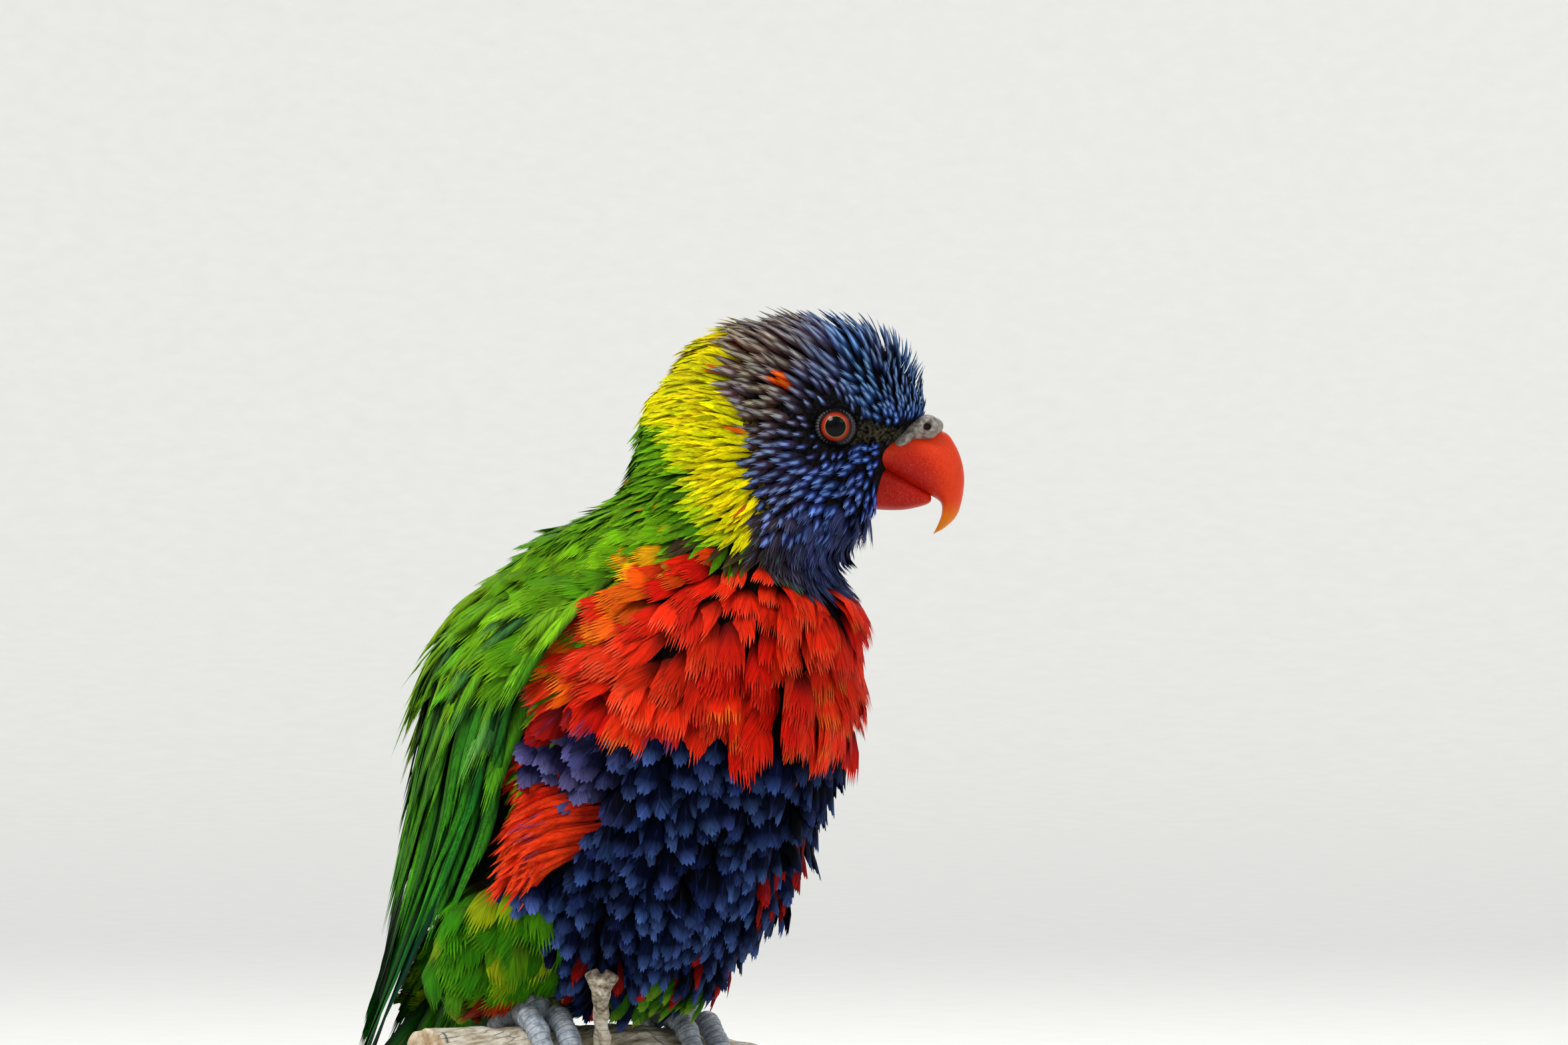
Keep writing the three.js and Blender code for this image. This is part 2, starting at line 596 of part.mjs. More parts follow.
// The dead stub with a forked, knobbly end that stands up beside the feet.
function stubForm() {
  const foot = roundPerch(-5, 60, PERCH.radius - 1);
  const rise = (x, y, z) => foot.clone().add(new THREE.Vector3(x, y, z));
  const path = [rise(0, 0, 0), rise(4, -4.8, 5), rise(9, -10.7, 11.5), rise(10.3, -12.3, 14.4)];
  const stem = limb(path, (t) => 2.1 - 0.5 * Math.sin(Math.PI * t), { sides: 8, steps: 4 });
  return joined([stem, ball(rise(9, -13.3, 15.2), 1.9, 8), ball(rise(11.9, -11.1, 14.9), 1.8, 8)]);
}

function standBase() {
  const { length, width, height, corner, bevel } = STAND;
  const [x, y] = [length / 2 - bevel - corner, width / 2 - bevel - corner];
  const outline = new THREE.Shape();
  outline.absarc(x, y, corner, 0, Math.PI / 2);
  outline.absarc(-x, y, corner, Math.PI / 2, Math.PI);
  outline.absarc(-x, -y, corner, Math.PI, 1.5 * Math.PI);
  outline.absarc(x, -y, corner, 1.5 * Math.PI, 2 * Math.PI);
  const slab = new THREE.ExtrudeGeometry(outline, {
    depth: height - 2 * bevel,
    bevelSize: bevel,
    bevelThickness: bevel,
    bevelSegments: 1,
    curveSegments: 4,
  });
  return solid(slab.translate(0, 0, bevel));
}

function standRod(along, perchGrown) {
  const top = roundPerch(along, 0, 0);
  const rod = new THREE.CylinderGeometry(STAND.rodRadius, STAND.rodRadius, top.z - STAND.height - GAP, 14);
  rod.rotateX(Math.PI / 2).translate(top.x, top.y, (top.z + STAND.height + GAP) / 2);
  return carved(solid(rod), perchGrown);
}

// Assembly

const object = new THREE.Group();

function place(name, form, material) {
  const { vertProperties, numProp, numVert, triVerts } = form.getMesh();
  const points = new Float32Array(numVert * 3);
  for (let i = 0; i < numVert; i += 1) {
    points.set(vertProperties.subarray(i * numProp, i * numProp + 3), i * 3);
  }
  const geometry = new THREE.BufferGeometry();
  geometry.setAttribute("position", new THREE.BufferAttribute(points, 3));
  geometry.setIndex(new THREE.BufferAttribute(triVerts, 1));
  geometry.computeVertexNormals();
  const mesh = new THREE.Mesh(geometry, material);
  mesh.name = name;
  object.add(mesh);
}

const SIDES = [["left", 1], ["right", -1]];
const bodyGrown = bodyForm(CURVE_GAP);
const branch =joined([branchForm(), stubForm()]);
const branchGrown = joined([branchForm(GAP), stubForm()]);

const body = bodyForm().subtract(branchGrown);
const [aboveBelly, belly] = parted(body, CUTS.belly);
const [aboveBreast, breast] = parted(aboveBelly, CUTS.neck);
const [plainHead, neck] = parted(aboveBreast, CUTS.head);

const eyeBall = (side, radius, sides) => ball(headPoint(EYE.ahead, side * EYE.side, EYE.z), radius, sides);
const rooms = SIDES.map(([, side]) => eyeBall(side, EYE.globe + GAP, 16));
const dishes = SIDES.map(([, side]) => ball(headPoint(EYE.ahead, side * LID.dishSide, EYE.z), LID.dish, 20));
const lids = SIDES.map(([, side]) => lidRing(side));
const head = carved(joined([carved(plainHead, ...dishes), ...lids]), ...rooms);

place("head", head, MATERIALS.head);
place("neck", neck, MATERIALS.collar);
place("breast", breast, MATERIALS.breast);
place("belly", belly, MATERIALS.belly);
place("cere", carved(cereForm(), bodyGrown, nostril(1), nostril(-1)), MATERIALS.cere);
place("bill_upper", carved(upperBill(), bodyGrown, cereForm(GAP)), MATERIALS.bill);
place("bill_lower", carved(lowerBill(), bodyGrown, upperBill(GAP)), MATERIALS.bill);

for (const [name, side] of SIDES) {
  const wing = carved(wingForm(side), bodyForm(WING_GAP), thighForm(side, GAP));
  const leg = carved(thighForm(side), bodyGrown, branchGrown, footForm(side, CURVE_GAP));
  place(`eye_${name}`, eyeBall(side, EYE.globe, 14), MATERIALS.eye);
  place(`wing_${name}`, wing, MATERIALS.wing);
  place(`leg_${name}`, leg, MATERIALS.thigh);
  place(`foot_${name}`, carved(footForm(side), bodyGrown, branchGrown), MATERIALS.foot);
  for (const toe of TOES) {
    place(`claw_${name}_${toe.name}`, carved(clawForm(side, toe), branchGrown), MATERIALS.claw);
  }
}

place("tail", carved(tailForm(), bodyGrown), MATERIALS.tail);
place("perch", branch, MATERIALS.bark);
place("stand_base", standBase(), MATERIALS.base);
STAND.rods.forEach((along, i) => place(`stand_rod_${i + 1}`, standRod(along, branchGrown), MATERIALS.rod));

export default object;
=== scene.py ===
"""A life-size rainbow lorikeet on a cut branch over a display stand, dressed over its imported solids.

Sizes are in millimetres and heights are above the branch's upper side, unless a name says otherwise.
"""

import logging
import math
from dataclasses import dataclass
from enum import Enum
from typing import Callable

import bpy
import numpy as np
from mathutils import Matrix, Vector
from mathutils.bvhtree import BVHTree
from mathutils.kdtree import KDTree


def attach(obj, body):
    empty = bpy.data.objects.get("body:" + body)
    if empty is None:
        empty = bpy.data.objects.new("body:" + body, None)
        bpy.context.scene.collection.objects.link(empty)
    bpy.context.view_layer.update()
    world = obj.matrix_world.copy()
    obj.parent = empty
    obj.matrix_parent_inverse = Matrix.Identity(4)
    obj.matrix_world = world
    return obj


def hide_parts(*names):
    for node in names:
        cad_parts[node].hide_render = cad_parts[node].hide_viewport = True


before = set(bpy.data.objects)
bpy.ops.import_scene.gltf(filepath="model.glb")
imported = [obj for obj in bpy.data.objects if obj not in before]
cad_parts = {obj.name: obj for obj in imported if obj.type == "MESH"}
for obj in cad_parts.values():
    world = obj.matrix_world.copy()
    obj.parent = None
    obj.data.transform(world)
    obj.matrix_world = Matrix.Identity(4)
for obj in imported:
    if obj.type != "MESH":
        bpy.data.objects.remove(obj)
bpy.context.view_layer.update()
LOG = logging.getLogger("lorikeet")

MM = 0.001
PERCH_TOP = 103.0
HEAD_TURN = math.radians(40)
AHEAD = np.array([math.cos(HEAD_TURN), math.sin(HEAD_TURN), 0.0])
HEAD_LEFT = np.array([-math.sin(HEAD_TURN), math.cos(HEAD_TURN), 0.0])
UP = np.array([0.0, 0.0, 1.0])
HEAD_MIDLINE = -18.6
EYE_AHEAD, EYE_HEIGHT, EYE_SIDE, EYE_GLOBE = 45.6, 118.9, 11.7, 4.6
Array, Rng = np.ndarray, np.random.Generator
Piece, Socket = bpy.types.Object, bpy.types.NodeSocket
Place = Callable[[Array, Array], Array]


# Numbers and colours


def smooth(low: float, high: float, value: Array) -> Array:
    """Rises smoothly from 0 at low to 1 at high, or falls where low is the larger."""
    share = np.clip((np.asarray(value, float) - low) / (high - low), 0, 1)
    return share * share * (3 - 2 * share)


def mix(a: Array, b: Array, share: Array) -> Array:
    """Goes from a to b by share."""
    return a + (b - a) * share


def column(values: Array) -> Array:
    """Stands a row of numbers up, so that it multiplies rows of vectors."""
    return np.asarray(values, float)[..., None]


def unit(vectors: Array) -> Array:
    """Brings each vector to length 1."""
    return vectors / np.maximum(np.linalg.norm(vectors, axis=-1, keepdims=True), 1e-9)


def dot(a: Array, b: Array) -> Array:
    """Multiplies vectors pair by pair."""
    return (a * b).sum(-1)


def paint(code: str) -> Array:
    """Turns a screen colour such as #aa3300 into linear red, green and blue."""
    parts = np.array([int(code[i : i + 2], 16) / 255 for i in (1, 3, 5)])
    return np.where(parts <= 0.04045, parts / 12.92, ((parts + 0.055) / 1.055) ** 2.4)


def ripple(points: Array, size: float, seed: int) -> Array:
    """Gives a smooth, uneven number between about -1 and 1 at each point.

    Args:
        points: Points in millimetres.
        size: Rough distance between a crest and a hollow.
        seed: Picks the pattern.

    Returns:
        One number for each point.
    """
    rng = np.random.default_rng(seed)
    waves = rng.normal(size=(6, 3)) * (1.4 / size)
    phases = rng.uniform(0, 2 * math.pi, 6)
    return np.sin(points @ waves.T + phases).sum(-1) / 2.6


def head_point(ahead: Array, left: Array, height: Array) -> Array:
    """Places points given in the head's own directions.

    Args:
        ahead: Distance along the way the bill points.
        left: Distance to the left of the head's middle plane.
        height: Height above the branch.

    Returns:
        Points in the part's frame, in millimetres.
    """
    ahead, left, height = np.broadcast_arrays(ahead, left, height)
    flat = column(ahead) * AHEAD + column(left + HEAD_MIDLINE) * HEAD_LEFT
    return flat + column(height + PERCH_TOP) * UP


def head_coords(points: Array) -> tuple[Array, Array, Array]:
    """Reads points in the head's own directions, the inverse of head_point."""
    return points @ AHEAD, points @ HEAD_LEFT - HEAD_MIDLINE, points[..., 2] - PERCH_TOP


# The smooth forms that the plumage and the bare parts follow


@dataclass(frozen=True)
class SliceForm:
    """A form of level slices: height, middle x and y, reach to front and back, half width, and heading."""

    stations: tuple[tuple[float, ...], ...]

    def fields(self, height: Array) -> Array:
        """Interpolates the stations smoothly.

        Args:
            height: Heights to look up.

        Returns:
            One row of slice fields for each height.
        """
        table = np.array(self.stations, float)
        last = len(table) - 2
        i = np.clip(np.searchsorted(table[:, 0], height, side="left") - 1, 0, last)
        a, b = table[i], table[i + 1]
        before, after = table[np.maximum(i - 1, 0)], table[np.minimum(i + 2, last + 1)]
        span = column(b[..., 0] - a[..., 0])
        t = column(height - a[..., 0]) / span
        plain = (b - a) / span
        rise_a = (b - before) / column(b[..., 0] - before[..., 0])
        rise_b = (after - a) / column(after[..., 0] - a[..., 0])
        slope_a = np.where(column(i == 0) > 0, plain, rise_a)
        slope_b = np.where(column(i == last) > 0, plain, rise_b)
        ends = (2 * t**3 - 3 * t**2 + 1) * a + (3 * t**2 - 2 * t**3) * b
        return ends + span * ((t**3 - 2 * t**2 + t) * slope_a + (t**3 - t**2) * slope_b)

    def points(self, height: Array, degrees: Array, grow: float = 0.0) -> Array:
        """Finds points on the form.

        Args:
            height: Height of each point.
            degrees: Angle of each point: 0 is ahead, 90 to the left, 180 behind.
            grow: Distance outside the form.

        Returns:
            Points in millimetres.
        """
        height, degrees = np.broadcast_arrays(np.asarray(height, float), np.asarray(degrees, float))
        field = self.fields(height)
        cos, sin = np.cos(np.radians(degrees)), np.sin(np.radians(degrees))
        along = cos * (grow + np.where(cos > 0, field[..., 3], field[..., 4]))
        aside = sin * (grow + field[..., 5])
        heading = np.radians(field[..., 6])
        x = field[..., 1] + along * np.cos(heading) - aside * np.sin(heading)
        y = field[..., 2] + along * np.sin(heading) + aside * np.cos(heading)
        return np.stack([x, y, height + PERCH_TOP], -1)

    def turn(self, points: Array) -> Array:
        """Gives the angle of each point round the form, in degrees from -180 to 180, 0 ahead."""
        field = self.fields(points[..., 2] - PERCH_TOP)
        x, y = points[..., 0] - field[..., 1], points[..., 1] - field[..., 2]
        heading = np.radians(field[..., 6])
        along = x * np.cos(heading) + y * np.sin(heading)
        aside = y * np.cos(heading) - x * np.sin(heading)
        return np.degrees(np.arctan2(aside, along))


TRUNK_STATIONS = (
    (40, 7, 0, 41, 45, 32, 0),
    (56, 10, 0, 46, 47, 34.5, 0),
    (70, 14, 0, 44, 48, 35, 0),
    (83, 19, 0, 40, 48, 32, 3),
    (91, 23, 0, 31, 43, 27, 10),
    (98, 27, 0, 32, 34, 22, 22),
)
BODY = SliceForm(
    (
        (1.2, 2, 0, 0, 0, 0, 0),
        (2.4, 1, 0, 15, 15, 9, 0),
        (6, 0, 0, 25, 27, 16, 0),
        (14, 1, 0, 30, 35, 22, 0),
        (23, 3, 0, 37, 40, 27, 0),
        *TRUNK_STATIONS,
        (105, 32, 3, 29.5, 25, 19, 34),
        (113, 36, 6, 27, 26, 17.5, 40),
        (121, 38.5, 8, 29.5, 27, 16.5, 40),
        (129, 40, 9, 26.5, 25.5, 15, 40),
        (135.5, 41, 9.5, 21.5, 21.5, 12, 40),
        (139.5, 41, 9.5, 13, 14.5, 7.5, 40),
        (141, 41, 9.5, 0, 0, 0, 40),
    )
)
WING_BED = SliceForm(
    (
        (-60, -74, 0, 6, 16, 8, 0),
        (-29, -52, 0, 8, 20.5, 11, 0),
        (-10, -36, 0, 12, 24, 15.5, 0),
        (8, -18, 0, 20, 32.5, 22, 0),
        (23, -4, 0, 30, 41.5, 28, 0),
        (40, 7, 0, 41, 48, 32.5, 0),
        *((*station[:2], 0, *station[3:6], 0) for station in TRUNK_STATIONS[1:]),
    )
)


def coordinates(piece: Piece) -> Array:
    """Reads a piece's vertices as rows of three numbers, in millimetres."""
    flat = np.empty(len(piece.data.vertices) * 3)
    piece.data.vertices.foreach_get("co", flat)
    return flat.reshape(-1, 3) / MM


def set_coordinates(piece: Piece, points: Array) -> None:
    """Moves a piece's vertices to the points, in millimetres."""
    piece.data.vertices.foreach_set("co", (points * MM).ravel())
    piece.data.update()


def vertex_normals(piece: Piece) -> Array:
    """Reads a piece's vertex normals as rows of three numbers."""
    flat = np.empty(len(piece.data.vertices) * 3)
    piece.data.vertices.foreach_get("normal", flat)
    return flat.reshape(-1, 3)


def select_only(piece: Piece) -> None:
    """Deselects all and makes one piece active."""
    bpy.ops.object.select_all(action="DESELECT")
    piece.select_set(True)
    bpy.context.view_layer.objects.active = piece


def reshaped(name: str, place: Place, degrees: Array, share: Array) -> Piece:
    """Names the new primitive, moves its vertices to their places and turns its faces outwards.

    Args:
        name: Name of the piece.
        place: Gives points in millimetres for an angle in degrees and a share along the form.
        degrees: Angle of each vertex.
        share: Share of each vertex.

    Returns:
        The piece.
    """
    piece = bpy.context.object
    piece.name = piece.data.name = name
    set_coordinates(piece, place(degrees, share))
    select_only(piece)
    bpy.ops.object.mode_set(mode="EDIT")
    bpy.ops.mesh.select_all(action="SELECT")
    bpy.ops.mesh.remove_doubles(threshold=1e-6)
    bpy.ops.mesh.normals_make_consistent(inside=False)
    bpy.ops.object.mode_set(mode="OBJECT")
    bpy.ops.object.shade_smooth()
    return piece


def moulded(name: str, segments: int, rings: int, place: Place) -> Piece:
    """Makes a closed form out of a sphere, by angle round it and share from pole to pole."""
    bpy.ops.object.select_all(action="DESELECT")
    bpy.ops.mesh.primitive_uv_sphere_add(segments=segments, ring_count=rings, radius=1)
    start = coordinates(bpy.context.object) * MM
    degrees = np.degrees(np.arctan2(start[:, 1], start[:, 0]))
    share = 1 - np.arccos(np.clip(start[:, 2], -1, 1)) / math.pi
    return reshaped(name, place, degrees, share)


def ring_piece(name: str, across: int, along: int, place: Place) -> Piece:
    """Makes a closed ring out of a torus, by angle round its tube and share round the ring."""
    bpy.ops.object.select_all(action="DESELECT")
    bpy.ops.mesh.primitive_torus_add(
        major_segments=along, minor_segments=across, major_radius=2, minor_radius=1
    )
    start = coordinates(bpy.context.object) * MM
    flat = np.hypot(start[:, 0], start[:, 1])
    degrees = np.degrees(np.arctan2(start[:, 2], flat - 2))
    share = (np.arctan2(start[:, 1], start[:, 0]) / (2 * math.pi)) % 1.0
    return reshaped(name, place, degrees, share)


def ball(degrees: Array, share: Array) -> Array:
    """Gives the points of a unit ball, by angle and by share from its lower pole."""
    turn, ring = np.radians(degrees), np.sin(math.pi * share)
    return np.stack([np.cos(turn) * ring, np.sin(turn) * ring, -np.cos(math.pi * share)], -1)


def joined(name: str, pieces: list[Piece]) -> Piece:
    """Joins pieces into the first one and names it."""
    select_only(pieces[0])
    for piece in pieces[1:]:
        piece.select_set(True)
    bpy.ops.object.join()
    pieces[0].name = pieces[0].data.name = name
    return pieces[0]


def apply_modifier(piece: Piece, kind: str, **settings: object) -> None:
    """Adds one modifier with its settings and applies it."""
    select_only(piece)
    modifier = piece.modifiers.new(kind.lower(), kind)
    for key, value in settings.items():
        setattr(modifier, key, value)
    bpy.ops.object.modifier_apply(modifier=modifier.name)


def fused(name: str, pieces: list[Piece], cell: float, rounds: int = 4) -> Piece:
    """Melts pieces that cross into one smooth closed form.

    Args:
        name: Name of the form.
        pieces: Closed pieces.
        cell: Size of the remesh cells, in millimetres.
        rounds: Rounds of smoothing.

    Returns:
        The fused piece.
    """
    whole = joined(name, pieces)
    apply_modifier(whole, "REMESH", mode="VOXEL", voxel_size=cell * MM)
    if rounds:
        apply_modifier(whole, "SMOOTH", factor=0.5, iterations=rounds)
    select_only(whole)
    bpy.ops.object.shade_smooth()
    return whole


def curve_points(knots: tuple[tuple[float, ...], ...], share: Array) -> Array:
    """Follows a smooth line through knots by its length.

    Args:
        knots: Points that the line passes.
        share: Shares of its length, from 0 to 1.

    Returns:
        One point for each share.
    """
    knot = np.array(knots, float)
    padded = np.vstack([2 * knot[0] - knot[1], knot, 2 * knot[-1] - knot[-2]])
    t = column(np.linspace(0, 1, 24, endpoint=False))
    fine = []
    for i in range(len(knot) - 1):
        a, b, c, d = padded[i : i + 4]
        bend = (2 * a - 5 * b + 4 * c - d) * t**2 + (3 * b - a - 3 * c + d) * t**3
        fine.append(0.5 * (2 * b + (c - a) * t + bend))
    line = np.vstack([*fine, knot[-1:]])
    reach = np.concatenate([[0], np.cumsum(np.linalg.norm(np.diff(line, axis=0), axis=1))])
    return np.stack([np.interp(share * reach[-1], reach, line[:, k]) for k in range(line.shape[1])], -1)


def tube(name: str, knots: Array, radius: Place, segments: int, rings: int) -> Piece:
    """Makes a closed tube along a smooth line, rounded at both ends.

    Args:
        name: Name of the piece.
        knots: Points of the middle line.
        radius: Gives the radius for an angle in degrees, 0 on the upper side, and a share along the line.
        segments: Faces round the tube.
        rings: Faces along it.

    Returns:
        The new piece.
    """

    def place(degrees: Array, share: Array) -> Array:
        """Puts a sphere's points round the line."""
        before, after = np.maximum(share - 0.01, 0), np.minimum(share + 0.01, 1)
        ahead = unit(curve_points(knots, after) - curve_points(knots, before))
        side = unit(np.cross(ahead, np.array([0.04, 0.02, 1.0])))
        cap = np.sqrt(np.clip(1 - (2 * np.abs(share - 0.5)) ** 14, 0, 1))
        turn = np.radians(degrees)
        out = column(np.cos(turn)) * np.cross(side, ahead) + column(np.sin(turn)) * side
        return curve_points(knots, share) + column(radius(degrees, share) * cap) * out

    return moulded(name, segments, rings, place)


# Feathers


@dataclass(frozen=True)
class VaneShape:
    """One kind of feather: a thin closed vane whose barbs part into bundles near the tip."""

    strips: int = 4
    rows: int = 3
    split: float = 0.8
    square: float = 0.75
    point: float = 0.0
    base: float = 0.5
    camber: float = 0.1
    thick: float = 0.14
    ragged: float = 0.3
    cleft: float = 0.4
    rounded: bool = False

    @property
    def stages(self) -> Array:
        """Shares of the length at which the middle line is found."""
        return np.append(np.linspace(0, self.split, self.rows + 1), 1.0)

    def vertices(self) -> Array:
        """Lists vertices as stage, across, under, drawn back, and loose: 1 at tips and 2 at clefts."""
        across = np.linspace(-1, 1, self.strips + 1)
        rounding = (1 - self.square) * 0.8
        rows = []
        for stage in range(self.rows):
            rows += [(stage, u, 0, 0, 0) for u in across]
        rows += [(self.rows, u, 0, rounding * u * u, 2 * (abs(u) < 0.999)) for u in across]
        rows += [(stage, 0, 1, 0, 0) for stage in range(self.rows)]
        middles = (across[1:] + across[:-1]) / 2
        rows += [(self.rows, u, 1, rounding * u * u, 0) for u in middles]
        tip_fall = (1 - self.square) * 1.6
        if self.rounded:
            tip_fall = rounding * self.split / (self.rows * (1 - self.split))
        rows += [(self.rows + 1, u, 0, tip_fall * u * u, 1) for u in middles]
        return np.array(rows, float)

    def triangles(self) -> Array:
        """Lists the triangles that close the vane: its top, underside, barb bundles and root."""
        m, n = self.strips, self.rows
        width = m + 1
        under = (n + 1) * width
        hollow, tip = under + n, under + n + m
        faces = []
        for j in range(n):
            for i in range(m):
                a, d = j * width + i, (j + 1) * width + i
                faces += [(a, a + 1, d + 1), (a, d + 1, d)]
        for j in range(n - 1):
            left, right, spine = j * width, j * width + m, under + j
            faces += [(left, left + width, spine + 1), (left, spine + 1, spine)]
            faces += [(right, spine, spine + 1), (right, spine + 1, right + width)]
        heart, last = under + n - 1, n * width
        zigzag = [last]
        for i in range(m):
            zigzag += [hollow + i, last + i + 1]
        edge = [last - width, *zigzag, last - 1]
        faces += [(heart, a, b) for a, b in zip(edge[:-1], edge[1:])]
        for i in range(m):
            a, b, low, end = last + i, last + i + 1, hollow + i, tip + i
            faces += [(a, b, end), (a, end, low), (low, end, b)]
        faces += [(under, i + 1, i) for i in range(m)]
        return np.array(faces, int)


@dataclass
class Quills:
    """Middle lines of many feathers, with their outward and sideways directions at each stage."""

    points: Array
    normals: Array
    sides: Array
    lengths: Array
    widths: Array

    def rolled(self, degrees: Array) -> "Quills":
        """Tips every feather to one side about its own line by an angle."""
        turn = np.radians(degrees)[:, None, None]
        normals = self.normals * np.cos(turn) + self.sides * np.sin(turn)
        sides = self.sides * np.cos(turn) - self.normals * np.sin(turn)
        return Quills(self.points, normals, sides, self.lengths, self.widths)


@dataclass
class Tints:
    """Colours of many feathers: at the root, over the middle, at the tip, and along the shaft. Dark roots
    are partly painted shade for the gaps between feathers.
    """

    root: Array
    middle: Array
    tip: Array
    streak: Array
    strength: Array
    tip_from: float

    def at(self, share: Array) -> Array:
        """Gives each feather's colours at a row of shares of its length."""
        low = smooth(0.12, 0.5, share)[..., None]
        high = smooth(self.tip_from, 1.0, share)[..., None]
        body = mix(self.root[:, None], self.middle[:, None], low)
        return mix(body, self.tip[:, None], high)


def strayed(
    rng: Rng,
    count: int,
    root: Array,
    middle: Array,
    tip: Array,
    streak: Array | None = None,
    strength: float = 0.15,
    tip_from: float = 0.7,
) -> Tints:
    """Gives each feather its colours, a little lighter or darker and warmer or colder than the next.

    Args:
        rng: Random numbers.
        count: How many feathers.
        root: Colour of the root, or one for each feather.
        middle: Colour of the middle.
        tip: Colour of the tip.
        streak: Colour of the shaft, the tip's if left out.
        strength: How clearly the shaft shows.
        tip_from: Share of the length where the tip's colour starts.

    Returns:
        The colours.
    """
    stray = column(np.exp(rng.normal(0, 0.14, count))) * (1 + rng.normal(0, 0.05, (count, 3)))
    shaft = tip if streak is None else streak
    tinted = [np.broadcast_to(tint, (count, 3)) * stray for tint in (root, middle, tip, shaft)]
    return Tints(*tinted, np.broadcast_to(np.asarray(strength, float), (count,)), tip_from)


@dataclass(frozen=True)
class FeatherBed:
    """Where a piece's feathers lie on the flat unwrap of the skin, and how large each one's patch is."""

    places: Array
    patch: tuple[float, float] = (0.003, 0.003)


def feather_mesh(
    name: str, shape: VaneShape, quills: Quills, tints: Tints, bed: FeatherBed, seed: int
) -> Piece:
    """Lays one closed vane along every quill and joins them in one piece.

    Args:
        name: Name of the piece.
        shape: Kind of feather.
        quills: Middle lines.
        tints: Colours.
        bed: Places on the skin's unwrap.
        seed: Picks the uneven tips.

    Returns:
        The new piece, with its colours in Coat and Streak and the UV maps Vane, Share and OFBake.
    """
    rng = np.random.default_rng(seed)
    layout, faces = shape.vertices(), shape.triangles()
    stage, across, under, back, loose = layout[:, 0].astype(int), *layout[:, 1:].T
    count, size = len(quills.lengths), len(layout)
    chance = rng.random((count, size))
    drawn = back + (loose == 1) * shape.ragged * chance + (loose == 2) * shape.cleft * chance**2
    drawn = np.clip(drawn, 0, np.where((loose == 1) & shape.rounded, 3.0, 0.96))
    across = across + (loose > 0) * rng.normal(0, 0.25 / shape.strips, (count, size))
    before = np.maximum(stage - 1, 0)
    share = mix(shape.stages[stage], shape.stages[before], drawn)
    middle = mix(quills.points[:, stage], quills.points[:, before], drawn[..., None])
    full = mix(shape.base, 1.0, smooth(0, 0.4, share)) * (1 - shape.point * smooth(0.35, 1.0, share))
    aside = across * full * quills.widths[:, None] / 2
    bow = -shape.camber * quills.widths[:, None] * across**2 - shape.thick * under
    points = middle + quills.sides[:, stage] * aside[..., None] + quills.normals[:, stage] * bow[..., None]
    corners = faces[None] + (np.arange(count) * size)[:, None, None]
    piece = mesh_piece(name, points.reshape(-1, 3), corners.reshape(-1, 3))
    strength = np.broadcast_to(tints.strength[:, None, None], (count, size, 1))
    set_colours(piece, "Coat", np.concatenate([tints.at(share), strength], -1).reshape(-1, 4))
    streak = np.append(tints.streak, rng.random((count, 1)), 1)
    set_colours(piece, "Streak", np.broadcast_to(streak[:, None], (count, size, 4)).reshape(-1, 4))
    set_uv(piece, "Vane", np.stack([aside, share * quills.lengths[:, None]], -1).reshape(-1, 2))
    set_uv(piece, "Share", np.stack([across, share], -1).reshape(-1, 2))
    spot = np.stack([np.clip(across, -1, 1) / 2, share - 0.5], -1) * np.array(bed.patch)
    set_uv(piece, "OFBake", (bed.places[:, None] + spot).reshape(-1, 2))
    return piece


def mesh_piece(name: str, points: Array, faces: Array) -> Piece:
    """Makes a piece from points in millimetres and triangles, smooth but for the vanes' edges."""
    data = bpy.data.meshes.new(name)
    data.vertices.add(len(points))
    data.vertices.foreach_set("co", (points * MM).ravel())
    data.loops.add(len(faces) * 3)
    data.loops.foreach_set("vertex_index", faces.ravel().astype(np.int32))
    data.polygons.add(len(faces))
    data.polygons.foreach_set("loop_start", np.arange(0, len(faces) * 3, 3, dtype=np.int32))
    data.update(calc_edges=True)
    piece = bpy.data.objects.new(name, data)
    bpy.context.scene.collection.objects.link(piece)
    select_only(piece)
    bpy.ops.object.shade_smooth_by_angle(angle=math.radians(55))
    return piece


def set_colours(piece: Piece, name: str, colours: Array) -> None:
    """Stores one colour for each vertex under a name."""
    layer = piece.data.color_attributes.new(name, "FLOAT_COLOR", "POINT")
    layer.data.foreach_set("color", colours.astype(np.float32).ravel())


def set_uv(piece: Piece, name: str, places: Array) -> None:
    """Stores a UV map from one place for each vertex."""
    corner = np.empty(len(piece.data.loops), np.int32)
    piece.data.loops.foreach_get("vertex_index", corner)
    layer = piece.data.uv_layers.new(name=name)
    layer.uv.foreach_set("vector", places[corner].astype(np.float32).ravel())


def fit(piece: Piece, slot: str) -> Piece:
    """Makes a piece ride with the part and reports it."""
    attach(piece, "root")
    LOG.info("%s: %d faces", piece.name, len(piece.data.polygons))
    return piece


# The skin under the plumage


@dataclass
class Spots:
    """Places on the skin with all that a feather's kind and colour depend on."""

    points: Array
    normals: Array

    def __post_init__(self) -> None:
        """Works out the places in the head's directions and round the body."""
        self.count = len(self.points)
        self.ahead, self.left, self.height = head_coords(self.points)
        self.turn = BODY.turn(self.points)
        self.round = np.abs(self.turn)
        self.from_eye = np.hypot(self.ahead - EYE_AHEAD, self.height - EYE_HEIGHT)

    def near(self, ahead: float, height: float, reach: float, rise: float) -> Array:
        """Marks the spots inside an ellipse of the side view."""
        return np.hypot((self.ahead - ahead) / reach, (self.height - height) / rise) < 1


